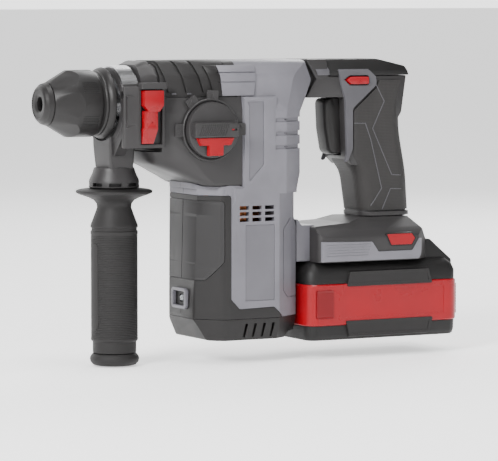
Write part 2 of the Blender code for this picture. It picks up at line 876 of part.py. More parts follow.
def make_mode_knob():
    x, z = KNOB
    plate = turned(
        "mode_ring",
        [
            (-40.2, 22.4),
            (-37.2 - GAP, 22.4),
            (-37.2 - GAP, 9.5),
            (-38.4, 9.5),
            (-38.4, 20.6),
            (-40.2, 20.6),
        ],
        "Y",
        (x, 0.0, z),
        32,
    )
    for degrees in (0.0, 90.0, 128.0, 180.0):
        tab = box(
            f"mode_tab_{degrees:.0f}",
            (BIT_SEAT + 21.0, -39.8, -5.0),
            (BIT_SEAT + 28.5, -37.2 - GAP, 5.0),
        )
        turn = Matrix.Rotation(math.radians(-degrees), 4, "Y")
        tab.matrix_world = Matrix.Translation(at(x, 0.0, z)) @ turn @ tab.matrix_world
        fuse(plate, tab)
    finish(plate, DARK_GREY, smooth=True)

    knob = turned(
        "mode_knob",
        [(-44.2, 0.0), (-44.2, 19.6), (-38.4 - GAP, 20.0), (-38.4 - GAP, 5.8), (-22.0, 5.8), (-22.0, 0.0)],
        "Y",
        (x, 0.0, z),
        32,
        closed=False,
    )
    bar = box("knob_bar", (x - 18.0, -50.0, z - 5.4), (x + 18.0, -43.0, z + 5.4))
    fuse(knob, bar)
    cut(knob, box("knob_lock_room", (x - 15.4, -48.6, z - 30.0), (x + 15.4, -44.6, z - 2.0)))
    finish(knob, DARK_GREY, smooth=True)

    lock = prism(
        "knob_lock_button",
        [
            (x - 15.0, z - 5.0, 0.0),
            (x + 15.0, z - 5.0, 0.0),
            (x + 12.0, z - 11.0, 0.0),
            (x + 6.0, z - 11.0, 0.0),
            (x + 6.0, z - 18.4, 0.0),
            (x - 6.0, z - 18.4, 0.0),
            (x - 6.0, z - 11.0, 0.0),
            (x - 12.0, z - 11.0, 0.0),
        ],
        "Y",
        -48.3,
        -44.9,
    )
    finish(lock, RED)


# ---------------------------------------------------------------- handle and foot


def handle_side(gap=0.0):
    corners = [
        (215.5, 15.5, 2.0),
        (206.5, 1.8, 1.5),
        (238.5, 1.8, 3.0),
        (240.5, -42.0, 3.0),
        (247.0, -48.5, 5.0),
        (251.0, -56.0, 4.0),
        (255.0, -86.6, 0.0),
        (295.6, -86.6, 0.0),
        (293.0, -54.0, 30.0),
        (287.6, -25.0, 30.0),
        (286.6, -3.0, 20.0),
        (290.0, 12.0, 4.0),
        (292.6, 17.4, 0.0),
        (226.0, 17.4, 0.0),
        (224.0, TOP, 0.0),
        (206.5, TOP, 0.0),
    ]
    return inset(corners, gap)


def handle_solid(name, gap=0.0):
    solid = prism(name, handle_side(gap), "Y", -HANDLE_HALF + gap, HANDLE_HALF - gap)
    if gap == 0.0:
        round_edges(solid, 4.0, 2, 60)
    return solid


def foot_plan(gap=0.0):
    half = [(209.5, FOOT_HALF, 6.0), (304.0, FOOT_HALF, 12.0)]
    return inset([(x, -y, r) for x, y, r in half] + [(x, y, r) for x, y, r in reversed(half)], gap)


def foot_side(gap=0.0):
    corners = [
        (197.0 + GAP, -85.5, 1.0),
        (201.0, -90.4, 3.0),
        (238.0, -90.4, 4.0),
        (248.0, -86.6 - GAP, 0.0),
        (292.0, -86.6 - GAP, 0.0),
        (303.0, -104.0, 2.0),
        (294.4, FOOT_BOTTOM, 0.0),
        (197.0 + GAP, FOOT_BOTTOM, 0.0),
    ]
    return inset(corners, gap)


def make_handle():
    for name, sign in (("handle_left", -1), ("handle_right", 1)):
        shell = handle_solid(name)
        near, far = sorted((sign * GAP / 2, sign * 40.0))
        half = box(name + "_half", (190.0, near, -120.0), (320.0, far, 60.0))
        cut(
            shell,
            handle_solid(name + "_hollow", WALL),
            box(name + "_trigger_mouth", (230.0, -9.6, -41.5), (252.0, 9.6, 1.4)),
            box(name + "_front_mouth", (200.0, -13.0, 5.0), (222.0, 13.0, 26.0)),
            box(name + "_foot_mouth", (259.0, -13.0, -92.0), (291.0, 13.0, -80.0)),
            prism(name + "_lever_slot", lever_corners(-GAP), "Y", -40.0, 40.0),
        )
        keep(shell, half)
        finish(shell, DARK_GREY)

    seal = prism(
        "handle_seal",
        [
            (202.4, TOP - 0.6, 0.0),
            (206.0, TOP - 0.6, 0.0),
            (215.0, 15.3, 0.0),
            (206.0, 1.9, 0.0),
            (203.6, 1.9, 0.0),
            (211.6, 15.0, 0.0),
        ],
        "Y",
        -14.0,
        14.0,
    )
    finish(seal, BLACK)

    cap = prism(
        "rear_top_cap",
        [
            (224.6, TOP, 0.0),
            (269.0, TOP, 8.0),
            (292.6, 23.6, 2.0),
            (294.4, 17.4 + GAP, 0.0),
            (226.4, 17.4 + GAP, 0.0),
        ],
        "Y",
        -HANDLE_HALF - 0.8,
        HANDLE_HALF + 0.8,
    )
    round_edges(cap, 3.0, 2, 60)
    cut(cap, box("rear_cap_hollow", (232.0, -13.0, 10.0), (284.0, 13.0, 25.0)))
    finish(cap, BLACK)

    strap = prism("grip_overmould", strap_corners(), "Y", -HANDLE_HALF - 1.6, HANDLE_HALF + 1.6)
    cut(strap, prism("strap_inside", handle_side(-GAP), "Y", -HANDLE_HALF - GAP, HANDLE_HALF + GAP))
    finish(strap, RUBBER)


def strap_corners():
    """The rubber sides of the grip, joined behind it."""
    return [
        (258.0, -8.0, 4.0),
        (278.0, 3.0, 3.0),
        (290.4, -6.0, 3.0),
        (290.4, -25.0, 30.0),
        (298.2, -56.0, 20.0),
        (298.6, -82.0, 3.0),
        (257.5, -82.0, 3.0),
        (255.0, -54.0, 6.0),
        (250.0, -38.0, 6.0),
    ]


def lever_corners(gap=0.0):
    """The direction slider's outline, with its pointed front end."""
    return inset(
        [
            (239.6, 14.6, 0.0),
            (243.2, 11.4, 0.0),
            (258.2, 11.4, 1.0),
            (258.2, 17.4 - 0.6, 1.0),
            (243.2, 17.4 - 0.6, 0.0),
        ],
        gap,
    )


def make_controls():
    trigger = prism(
        "trigger",
        [
            (226.8, 0.6, 3.0),
            (236.0, 0.6, 0.0),
            (246.0, 0.6, 0.0),
            (246.0, -24.0, 0.0),
            (241.0, -40.6, 0.0),
            (231.5, -40.6, 5.0),
            (228.0, -22.0, 40.0),
        ],
        "Y",
        -9.0,
        9.0,
    )
    round_edges(trigger, 2.0, 2, 60)
    finish(trigger, DARK_GREY)

    switch = box("trigger_switch", (258.0, -9.0, -40.0), (278.0, 9.0, 6.0))
    finish(switch, BLACK)

    slider = prism("direction_slider", lever_corners(), "Y", -20.4, 20.4)
    finish(slider, RED)

    for name, sign in (("slider_bezel_left", -1), ("slider_bezel_right", 1)):
        low, high = sorted((sign * (HANDLE_HALF + GAP), sign * (HANDLE_HALF + 1.4)))
        bezel = prism(
            name,
            [
                (232.0, 17.0, 1.0),
                (263.0, 17.0, 1.0),
                (271.0, 12.0, 1.0),
                (258.0, -4.0, 2.0),
                (250.0, -10.0, 2.0),
                (244.0, 6.0, 3.0),
            ],
            "Y",
            low,
            high,
        )
        cut(bezel, prism(name + "_slot", lever_corners(-GAP), "Y", -40.0, 40.0))
        finish(bezel, LIGHT_GREY)


def make_foot():
    foot = prism("battery_foot", foot_side(), "Y", -50.0, 50.0)
    outline = prism("foot_outline", foot_plan(), "Z", -130.0, -60.0)
    fuse(outline, box("foot_neck", (197.0, -20.0, -130.0), (230.0, 20.0, -60.0)))
    keep(foot, outline)
    shoulder = [
        (-FOOT_HALF - 1, -130.0, 0.0),
        (FOOT_HALF + 1, -130.0, 0.0),
        (FOOT_HALF + 1, -101.0, 3.0),
        (20.0, -86.0, 6.0),
        (-20.0, -86.0, 6.0),
        (-FOOT_HALF - 1, -101.0, 3.0),
    ]
    keep(foot, prism("foot_shoulder", shoulder, "X", 190.0, 310.0))
    hollow = prism(
        "foot_hollow",
        [
            (222.0, -108.0, 0.0),
            (298.0, -108.0, 0.0),
            (296.0, -101.0, 0.0),
            (289.0, -90.2, 0.0),
            (222.0, -93.6, 0.0),
        ],
        "Y",
        -19.0,
        19.0,
    )
    cut(
        foot,
        hollow,
        box("foot_slot", (213.0, -RAIL_HALF - 0.5, -130.0), (320.0, RAIL_HALF + 0.5, -111.4)),
        box("foot_flange_slot", (213.0, -FLANGE_HALF - 0.5, -115.6), (320.0, FLANGE_HALF + 0.5, -111.4)),
        box("foot_wire_way", (262.0, -12.0, -95.0), (288.0, 12.0, -80.0)),
        box("foot_board_way", (224.0, -12.0, -114.0), (260.0, 12.0, -104.0)),
    )
    finish(foot, DARK_GREY)

    for name, sign in (("foot_trim_left", -1), ("foot_trim_right", 1)):
        low, high = sorted((sign * (FOOT_HALF + GAP), sign * (FOOT_HALF + 1.2)))
        trim = prism(
            name,
            [
                (214.0, FOOT_BOTTOM + 0.4, 0.0),
                (289.5, FOOT_BOTTOM + 0.4, 2.0),
                (298.0, -103.6, 0.0),
                (292.0, -104.6, 0.0),
                (286.0, -111.6, 2.0),
                (264.0, -111.6, 2.0),
                (257.0, -104.4, 2.0),
                (214.0, -104.0, 0.0),
            ],
            "Y",
            low,
            high,
        )
        finish(trim, LIGHT_GREY)

    board = box("controller_board", (226.0, -17.0, -106.4), (290.0, 17.0, -104.8))
    finish(board, BOARD)

    terminals = box("terminal_block", (213.5, -18.0, -117.6), (219.0, 18.0, -111.9))
    for y in (-12.0, -4.0, 4.0, 12.0):
        fuse(terminals, box(f"contact_blade_{y:.0f}", (218.0, y - 0.4, -116.8), (226.0, y + 0.4, -112.6)))
    finish(terminals, COPPER)


# ---------------------------------------------------------------- battery pack


def pack_plan(gap=0.0):
    corners = [
        (PACK_FRONT, -PACK_HALF, 10.0),
        (PACK_REAR, -PACK_HALF, 10.0),
        (PACK_REAR, PACK_HALF, 10.0),
        (PACK_FRONT, PACK_HALF, 10.0),
    ]
    return inset(corners, gap)


def make_battery():
    lower = prism("battery_lower_case", pack_plan(1.2), "Z", PACK_BOTTOM, BAND_Z[0] - GAP)
    cut(lower, prism("lower_case_hollow", pack_plan(1.2 + WALL), "Z", PACK_BOTTOM + WALL, -100.0))
    finish(lower, BLACK)

    band = prism("battery_band", pack_plan(), "Z", *BAND_Z)
    cut(band, prism("band_hollow", pack_plan(WALL), "Z", -200.0, -100.0))
    finish(band, RED)

    top = -118.4
    upper = prism("battery_upper_case", pack_plan(1.2), "Z", BAND_Z[1] + GAP, top)
    shoulder = [
        (-50.0, -150.0, 0.0),
        (50.0, -150.0, 0.0),
        (50.0, -126.5, 0.0),
        (PACK_HALF - 1.2, -126.5, 2.0),
        (29.0, top, 2.0),
        (-29.0, top, 2.0),
        (1.2 - PACK_HALF, -126.5, 2.0),
        (-50.0, -126.5, 0.0),
    ]
    keep(upper, prism("upper_case_shoulder", shoulder, "X", 190.0, 340.0))
    block = prism(
        "latch_block",
        [
            (296.0, top - 2.0, 0.0),
            (303.6, -104.2, 2.0),
            (307.0, -104.2, 2.0),
            (PACK_REAR - 1.2, -120.0, 3.0),
            (PACK_REAR - 1.2, -126.0, 0.0),
            (296.0, -126.0, 0.0),
        ],
        "Y",
        -27.0,
        27.0,
    )
    fuse(
        upper,
        block,
        box("rail_web", (RAIL_FRONT, -RAIL_HALF, top - 1.0), (291.0, RAIL_HALF, -112.0)),
        box("rail_flange", (RAIL_FRONT, -FLANGE_HALF, -115.0), (291.0, FLANGE_HALF, -112.0)),
    )
    cut(
        upper,
        prism("upper_case_hollow", pack_plan(1.2 + WALL), "Z", -160.0, -125.0),
        prism(
            "latch_pocket",
            [(308.0, -98.0, 0.0), (324.4, -98.0, 0.0), (324.4, -122.0, 0.0), (308.0, -115.0, 0.0)],
            "Y",
            -13.0,
            13.0,
        ),
    )
    for y in (-12.0, -4.0, 4.0, 12.0):
        cut(upper, box(f"contact_slot_{y:.0f}", (220.0, y - 1.4, -117.2), (240.0, y + 1.4, -110.0)))
    finish(upper, BLACK)

    latch = prism(
        "battery_latch",
        [(308.4, -104.9, 0.5), (324.0, -115.9, 0.5), (324.0, -118.4, 0.0), (308.4, -111.4, 0.0)],
        "Y",
        -12.6,
        12.6,
    )
    finish(latch, RED)

    for name, z in (("cell_row_lower", -162.6), ("cell_row_upper", -143.2)):
        half = CELL_LENGTH / 2
        xs = [224.6 + 19.0 * k for k in range(5)]
        row = box(name, (xs[0] - 5.0, -half - 0.25, z - 4.0), (xs[-1] + 5.0, -half + 0.3, z + 4.0))
        fuse(
            row,
            *[
                rod(f"{name}_cell_{k}", "Y", (x, -half, z), CELL_LENGTH, CELL_R, 16)
                for k, x in enumerate(xs)
            ],
        )
        fuse(
            row,
            box(name + "_strip", (xs[0] - 5.0, half - 0.3, z - 4.0), (xs[-1] + 5.0, half + 0.25, z + 4.0)),
        )
        finish(row, CELL_WRAP, smooth=True)

    board = box("pack_board", (216.0, -26.0, -131.6), (308.0, 26.0, -130.0))
    finish(board, BOARD)

    gauge = box("charge_gauge", (PACK_REAR - 0.9, -12.0, -132.0), (PACK_REAR - 0.1, 12.0, -126.6))
    finish(gauge, CLEAR)


# ---------------------------------------------------------------- side handle


def make_side_handle():
    band = along_spindle(
        "clamp_band",
        [(55.2, 26.7), (67.9, 26.7), (67.9, NECK_R + 0.3), (55.2, NECK_R + 0.3)],
        32,
    )
    finish(band, STEEL, smooth=True)

    inside = 26.7 + GAP
    half_x = GRIP_X - 49.4
    bracket = box("side_bracket", (GRIP_X - half_x, -13.5, -52.0), (GRIP_X + half_x, 13.5, -25.0))
    saddle = along_spindle(
        "bracket_saddle",
        [(52.0, 32.0), (69.0, 32.0), (69.0, inside), (52.0, inside)],
        32,
    )
    keep(saddle, box("saddle_limits", (40.0, -50.0, -50.0), (80.0, 34.0, 13.0)))
    cut(saddle, box("saddle_limits_right", (40.0, 0.0, -16.0), (80.0, 50.0, 50.0)))
    pod = prism(
        "bracket_pod",
        [
            (50.0, -38.0, 2.0),
            (81.6, -38.0, 1.0),
            (81.6, -SWING_R - 0.4, 0.5),
            (69.0, -SWING_R - 0.4, 0.0),
            (69.0, -22.0, 0.0),
            (56.0, -22.0, 0.0),
        ],
        "Z",
        -31.0,
        12.0,
    )
    collar = turned(
        "bracket_collar",
        [(-60.6, 0.0), (-60.6, 18.2), (-54.0, 17.8), (-47.0, 13.8), (-47.0, 0.0)],
        "Z",
        (GRIP_X, 0.0, 0.0),
        closed=False,
    )
    fuse(bracket, saddle, pod, collar)
    cut(
        bracket,
        rod("band_room", "X", (40.0, 0.0, 0.0), 60.0, inside, 32),
        rod("bolt_way", "Z", (GRIP_X, 0.0, -70.0), 60.0, 4.4, 16),
        rod("bolt_head_room", "Z", (GRIP_X, 0.0, -31.4), 20.0, 6.5, 16),
        rod("depth_rod_way", "X", (40.0, -30.4, 6.0), 60.0, 3.4, 16),
        box("stop_button_room", (62.2, -60.0, -28.6), (79.2, -34.9, 10.6)),
    )
    finish(bracket, DARK_GREY)

    button = prism(
        "depth_stop_button",
        [
            (62.7, 10.0, 1.0),
            (78.8, 10.0, 1.0),
            (78.8, 0.0, 0.0),
            (74.5, -5.5, 0.0),
            (74.5, -18.2, 0.0),
            (71.5, -27.8, 1.0),
            (62.7, -27.8, 1.0),
        ],
        "Y",
        -42.2,
        -37.7,
    )
    finish(button, RED)

    bolt = turned(
        "handle_bolt",
        [(-104.0, 0.0), (-104.0, 4.0), (-31.0, 4.0), (-31.0, 6.0), (-27.4, 6.0), (-27.4, 0.0)],
        "Z",
        (GRIP_X, 0.0, 0.0),
        20,
        closed=False,
    )
    finish(bolt, STEEL, smooth=True)

    grip = turned(
        "side_grip",
        [
            (-179.0, 15.6),
            (-170.5, 15.6),
            (-169.5, 17.0),
            (-92.0, 17.0),
            (-90.8, 16.2),
            (-89.0, 16.2),
            (-87.6, 17.0),
            (-86.0, 16.6),
            (-74.0, 12.2),
            (-69.0, 15.0),
            (-65.0, 26.0),
            (-63.4, 27.6),
            (-61.8, 26.8),
            (-61.0, 20.0),
            (-61.0, 4.4),
            (-112.0, 4.4),
            (-112.0, 9.0),
            (-179.0, 9.0),
        ],
        "Z",
        (GRIP_X, 0.0, 0.0),
    )
    finish(grip, RUBBER, smooth=True)

    cap = turned(
        "grip_end_cap",
        [
            (-188.0, 0.0),
            (-188.0, 14.0),
            (-186.4, 17.2),
            (-182.4, 17.9),
            (-179.3, 17.0),
            (-179.3, 8.6),
            (-160.0, 8.6),
            (-160.0, 0.0),
        ],
        "Z",
        (GRIP_X, 0.0, 0.0),
        closed=False,
    )
    finish(cap, BLACK, smooth=True)


make_chuck()
make_piston()
make_gears()
make_motor()
make_gear_case()
make_motor_housing()
make_work_light()
make_mode_knob()
make_handle()
make_controls()
make_foot()
make_battery()
make_side_handle()
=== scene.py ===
"""Looks of the rotary hammer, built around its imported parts.

Lengths are in millimetres. An x is measured backwards from the chuck's nose, y to the right-hand side and z
up from the spindle's axis. at() turns such a place into metres in the shared frame, whose origin is the bit
seat.
"""

import contextlib
import json
import math

import bmesh
import bpy
from mathutils import Matrix, Vector


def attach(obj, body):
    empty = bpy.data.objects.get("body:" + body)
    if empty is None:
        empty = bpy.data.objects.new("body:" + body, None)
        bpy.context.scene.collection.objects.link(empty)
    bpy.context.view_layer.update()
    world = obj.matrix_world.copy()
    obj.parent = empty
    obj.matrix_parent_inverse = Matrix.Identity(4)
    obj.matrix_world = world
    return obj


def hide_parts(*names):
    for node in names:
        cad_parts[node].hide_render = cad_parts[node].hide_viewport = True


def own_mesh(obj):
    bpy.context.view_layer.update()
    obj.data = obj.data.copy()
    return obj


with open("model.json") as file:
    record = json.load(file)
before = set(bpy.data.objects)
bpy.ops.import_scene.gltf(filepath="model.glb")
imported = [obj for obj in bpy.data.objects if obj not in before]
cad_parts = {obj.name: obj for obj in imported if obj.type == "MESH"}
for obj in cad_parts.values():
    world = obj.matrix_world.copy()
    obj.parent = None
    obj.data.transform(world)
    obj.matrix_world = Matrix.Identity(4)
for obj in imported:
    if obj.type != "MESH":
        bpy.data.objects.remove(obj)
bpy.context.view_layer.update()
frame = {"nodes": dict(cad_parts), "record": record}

MM = 0.001
BIT_SEAT = 50.0  # from the nose back to the seat of a bit
GAP = 0.35  # between pieces that touch
ARC_STEP = math.radians(8)  # a rounded corner turns this much from point to point

TOOL_BORE = 5.2
SLEEVE_R = 23.7
NECK_R = 25.2
SWING_R = 33.2  # the side handle sweeps outside this radius, as far back as the next
SWING_END = 82.4
TOP = 30.0
HALF = 37.0  # half the width of the housing
WALL = 2.6
CASE_REAR = 143.6  # gear case
CASE_BOTTOM = -60.0
MOTOR_FRONT = 113.0  # motor housing, cover and cap
MOTOR_REAR = 196.5
CAP_TOP = -155.8
BASE = -171.5
COVER_REAR = 134.5
COVER_TOP = -66.8
HANDLE_HALF = 17.0  # half widths of the shells, of the rubber over them and of the foot
GRIP_HALF = 18.6
FOOT_HALF = 37.0
FOOT_BOTTOM = -118.0
PACK = (197.8, 327.4)  # battery pack, from front to rear
PACK_HALF = 37.0
PACK_BOTTOM = -175.2
BAND = (-164.2, -134.0)  # its red band, from bottom to top
GRIP_X = 59.3  # axis of the side grip
KNOB_X = 117.0  # axis of the mode knob
KNOB_Z = -19.0

SIDES = ("left", "right")
AXIS_TURN = {
    "X": Matrix.Rotation(math.radians(90), 4, "Y"),
    "Y": Matrix.Rotation(math.radians(-90), 4, "X"),
    "Z": Matrix.Identity(4),
}


# ---------------------------------------------------------------- shapes


def at(x, y, z):
    return Vector(((x - BIT_SEAT) * MM, y * MM, z * MM))


def adopt(mesh, name):
    obj = bpy.data.objects.new(name, mesh)
    bpy.context.scene.collection.objects.link(obj)
    return obj


def from_bmesh(bm, name):
    bmesh.ops.recalc_face_normals(bm, faces=bm.faces)
    mesh = bpy.data.meshes.new(name)
    bm.to_mesh(mesh)
    bm.free()
    return adopt(mesh, name)


def rounded(corners, steps=0):
    """An outline's corners (u, v, radius) as points, with an arc at each corner that has a radius.

    Rings of one loft give the same number of steps, so that their points pair up."""
    points = []
    for i, (u, v, radius) in enumerate(corners):
        corner = Vector((u, v))
        back = (Vector(corners[i - 1][:2]) - corner).normalized()
        on = (Vector(corners[(i + 1) % len(corners)][:2]) - corner).normalized()
        between = back.angle(on)
        if radius <= 0 or between > math.radians(178):
            points.append(corner)
            continue
        start = corner + back * radius / math.tan(between / 2)
        centre = corner + (back + on).normalized() * radius / math.sin(between / 2)
        turn = math.pi - between
        if back.x * on.y - back.y * on.x > 0:
            turn = -turn
        count = steps or max(2, round(abs(turn) / ARC_STEP))
        for k in range(count + 1):
            points.append(centre + Matrix.Rotation(turn * k / count, 2) @ (start - centre))
    return points


def rect(u0, v0, u1, v1, radius):
    return [(u0, v0, radius), (u1, v0, radius), (u1, v1, radius), (u0, v1, radius)]


def inset(corners, gap):
    """The outline drawn `gap` further in, with its corner radii to match."""
    area = sum(a[0] * b[1] - b[0] * a[1] for a, b in zip(corners, corners[1:] + corners[:1]))
    side = 1 if area > 0 else -1
    found = []
    for i, (u, v, radius) in enumerate(corners):
        corner = Vector((u, v))
        back = (corner - Vector(corners[i - 1][:2])).normalized()
        on = (Vector(corners[(i + 1) % len(corners)][:2]) - corner).normalized()
        inward = Vector((-back.y, back.x)) * side
        inward_on = Vector((-on.y, on.x)) * side
        moved = corner + (inward + inward_on) * gap / (1 + inward.dot(inward_on))
        convex = (back.x * on.y - back.y * on.x) * side > 0
        less = radius - gap if convex else radius + gap
        found.append((moved.x, moved.y, max(less, 0.1) if radius > 0 else 0.0))
    return found


def ribbon(points, width):
    """The outline of a line of one width along some points."""
    sides = ([], [])
    for i, point in enumerate(points):
        here = Vector(point)
        back = Vector(points[max(i - 1, 0)])
        on = Vector(points[min(i + 1, len(points) - 1)])
        before = (here - back).normalized() if i else (on - here).normalized()
        after = (on - here).normalized() if i < len(points) - 1 else before
        along = (before + after).normalized()
        across = Vector((-along.y, along.x)) * width / 2 / max(along.dot(before), 0.4)
        sides[0].append((*(here + across), 0.0))
        sides[1].append((*(here - across), 0.0))
    return sides[0] + sides[1][::-1]


def place(axis, u, v, w):
    return {"X": at(w, u, v), "Y": at(u, w, v), "Z": at(u, v, w)}[axis]


def loft(name, rings):
    """A closed skin through rings of points, with a cap at each end."""
    bm = bmesh.new()
    loops = [[bm.verts.new(point) for point in ring] for ring in rings]
    bm.faces.new(loops[0])
    bm.faces.new(loops[-1])
    for low, high in zip(loops, loops[1:]):
        for i in range(len(low)):
            j = (i + 1) % len(low)
            bm.faces.new((low[i], low[j], high[j], high[i]))
    bmesh.ops.remove_doubles(bm, verts=bm.verts, dist=5e-6)
    return from_bmesh(bm, name)


def prism(name, corners, axis, low, high):
    outline = rounded(corners)
    return loft(name, [[place(axis, u, v, w) for u, v in outline] for w in (low, high)])


def plate(name, corners, axis, low, high, slope):
    """A prism whose sides lean in by `slope` between low and high."""
    rings = []
    for gap, w in ((0.0, low), (slope, high)):
        rings.append([place(axis, u, v, w) for u, v in rounded(inset(corners, gap), 5)])
    return loft(name, rings)


def box(name, low, high):
    bm = bmesh.new()
    bmesh.ops.create_cube(bm, size=1.0)
    low, high = at(*low), at(*high)
    bm.transform(Matrix.Translation((low + high) / 2) @ Matrix.Diagonal((*(high - low), 1.0)))
    return from_bmesh(bm, name)


def turned(name, profile, axis="X", centre=(0.0, 0.0, 0.0), sides=96, closed=True):
    """Turns a profile of (along, radius) about an axis.

    Its points go up the outer side, then down the inner one.
    """
    points = [(radius * MM, 0.0, along * MM) for along, radius in reversed(profile)]
    edges = [(i, i + 1) for i in range(len(points) - 1)]
    if closed:
        edges.append((len(points) - 1, 0))
    mesh = bpy.data.meshes.new(name)
    mesh.from_pydata(points, edges, [])
    obj = adopt(mesh, name)
    screw = obj.modifiers.new("turn", "SCREW")
    screw.axis = "Z"
    screw.steps = sides
    screw.render_steps = sides
    screw.use_merge_vertices = True
    screw.merge_threshold = 1e-6
    settle(obj)
    obj.data.transform(Matrix.Translation(at(*centre)) @ AXIS_TURN[axis])
    return obj


def rod(name, axis, start, length, radius, sides=48):
    return turned(
        name,
        [(0.0, 0.0), (0.0, radius), (length, radius), (length, 0.0)],
        axis, start, sides, closed=False,
    )


def coil(name, low, high, radius, wire, turns):
    """A round wire wound about the spindle's axis."""
    rings = []
    steps = turns * 32
    for k in range(steps + 1):
        angle = math.tau * turns * k / steps
        out = Vector((0.0, math.cos(angle), math.sin(angle)))
        centre = at(low + (high - low) * k / steps, 0.0, 0.0) + out * radius * MM
        ring = []
        for j in range(12):
            around = math.tau * j / 12
            ring.append(centre + (out * math.cos(around) + Vector((math.sin(around), 0.0, 0.0))) * wire * MM)
        rings.append(ring)
    return loft(name, rings)


def settle(obj):
    """Applies the modifiers, so that the mesh is the shape."""
    bpy.context.view_layer.update()
    graph = bpy.context.evaluated_depsgraph_get()
    mesh = bpy.data.meshes.new_from_object(obj.evaluated_get(graph))
    obj.modifiers.clear()
    obj.data = mesh
    return obj


@contextlib.contextmanager
def editing(mesh):
    """Opens the mesh as a bmesh, and writes it back."""
    bm = bmesh.new()
    bm.from_mesh(mesh)
    yield bm
    bm.to_mesh(mesh)
    bm.free()


def measure(mesh):
    """The volume, and the number of edges that aren't between exactly two faces."""
    bm = bmesh.new()
    bm.from_mesh(mesh)
    found = bm.calc_volume(), sum(not edge.is_manifold for edge in bm.edges)
    bm.free()
    return found


def clean(mesh, triangles):
    with editing(mesh) as bm:
        bmesh.ops.remove_doubles(bm, verts=bm.verts, dist=3e-6)
        bmesh.ops.dissolve_degenerate(bm, dist=2e-6, edges=bm.edges)
        if triangles:
            bmesh.ops.triangulate(bm, faces=bm.faces)


def combine(obj, others, operation):
    """Joins or cuts with each of the others in turn.

    Faces that nearly coincide can defeat a Boolean, so a result that is open or has an impossible volume is
    made again from cleaned meshes, with the other piece moved by some micrometres.
    """
    for other in others:
        mine = measure(obj.data)[0]
        theirs = measure(other.data)[0]
        least, most = {
            "UNION": (max(mine, theirs), mine + theirs),
            "DIFFERENCE": (mine - theirs, mine),
            "INTERSECT": (0.0, min(mine, theirs)),
        }[operation]
        before = obj.data
        for k in range(10):
            obj.data = before.copy()
            if k:
                clean(obj.data, k > 4)
                clean(other.data, k > 4)
            step = obj.modifiers.new("join", "BOOLEAN")
            step.operation = operation
            step.object = other
            settle(obj)
            volume, holes = measure(obj.data)
            if not holes and max(least * 0.999, 1e-11) < volume < most * 1.001:
                break
            other.location = Vector((7e-6, -5e-6, 3e-6)) * (k + 1) * (-1) ** k
        else:
            print("unclean", operation, obj.name, other.name, mine, theirs, volume, holes)
        bpy.data.objects.remove(other)
    return obj


def cut(obj, *others):
    return combine(obj, others, "DIFFERENCE")


def fuse(obj, *others):
    return combine(obj, others, "UNION")


def keep(obj, *others):
    return combine(obj, others, "INTERSECT")


def mirrored(obj, name):
    """A copy of the piece on the other side of the middle plane."""
    mesh = obj.data.copy()
    mesh.transform(Matrix.Diagonal((1.0, -1.0, 1.0, 1.0)))
    mesh.flip_normals()
    return adopt(mesh, name)


def on_side(obj, name, right):
    """Names a piece made on the left, and mirrors it where it belongs on the right."""
    if right:
        other = mirrored(obj, name)
        bpy.data.objects.remove(obj)
        obj = other
    obj.name = name
    return obj


def on_both_sides(make, obj, name, operation):
    """Makes a shape on the left side and its mirror image, and combines both with a piece."""
    left = make(name)
    return combine(obj, [left, mirrored(left, name + "_mirror")], operation)


def halves(obj, name):
    """Splits the piece along the middle plane into its left and right shell."""
    shells = []
    for side, near, far in (("left", -60.0, -GAP / 2), ("right", GAP / 2, 60.0)):
        shell = adopt(obj.data.copy(), f"{name}_{side}")
        keep(shell, box("half", (90.0, near, -200.0), (330.0, far, 60.0)))
        shells.append((side, shell))
    bpy.data.objects.remove(obj)
    return shells


def soften(obj, width, segments=3, angle=32):
    """Rounds the edges."""
    with editing(obj.data) as bm:
        bmesh.ops.remove_doubles(bm, verts=bm.verts, dist=2e-6)
        bmesh.ops.dissolve_limit(bm, angle_limit=math.radians(0.4), verts=bm.verts, edges=bm.edges)
    step = obj.modifiers.new("soften", "BEVEL")
    step.width = width * MM
    step.segments = segments
    step.limit_method = "ANGLE"
    step.angle_limit = math.radians(angle)
    step.use_clamp_overlap = True
    settle(obj)
    with editing(obj.data) as bm:
        many_sided = [face for face in bm.faces if len(face.verts) > 4]
        bmesh.ops.triangulate(bm, faces=many_sided, ngon_method="EAR_CLIP")
    return obj


def ribbed(obj, axis, low, high, pitch, depth):
    """Slices the piece along an axis and draws every other slice in, as moulded ribs."""
    index = "XYZ".index(axis)
    shift = BIT_SEAT if axis == "X" else 0.0
    normal = Vector((0.0, 0.0, 0.0))
    normal[index] = 1.0
    count = int((high - low) / pitch * 2)
    levels = [(low + k * pitch / 2 - shift) * MM for k in range(count + 1)]
    with editing(obj.data) as bm:
        for level in levels:
            every = bm.verts[:] + bm.edges[:] + bm.faces[:]
            bmesh.ops.bisect_plane(bm, geom=every, dist=1e-7, plane_co=normal * level, plane_no=normal)
        bm.normal_update()
        for vert in bm.verts:
            step = (vert.co[index] - levels[0]) / (pitch / 2 * MM)
            if abs(step - round(step)) < 0.02 and round(step) % 2 and 0 < step < count:
                inward = vert.normal.copy()
                inward[index] = 0.0
                vert.co -= inward.normalized() * depth * MM
    return obj


def track(points, x, ease=3.0):
    """A line through (x, value) points, with its corners eased."""
    found = 0.0
    for shift in (-1.0, -0.5, 0.0, 0.5, 1.0):
        here = min(max(x + shift * ease, points[0][0]), points[-1][0])
        for (x0, v0), (x1, v1) in zip(points, points[1:]):
            if here <= x1:
                found += v0 + (v1 - v0) * (here - x0) / (x1 - x0)
                break
    return found / 5


# ---------------------------------------------------------------- materials


def node(tree, kind, **settings):
    made = tree.nodes.new(kind)
    for key, value in settings.items():
        setattr(made, key, value)
    return made


def put(made, **inputs):
    """Sets a node's own inputs. An input's name has _ for each space here."""
    for key, value in inputs.items():
        made.inputs[key.replace("_", " ")].default_value = value
    return made


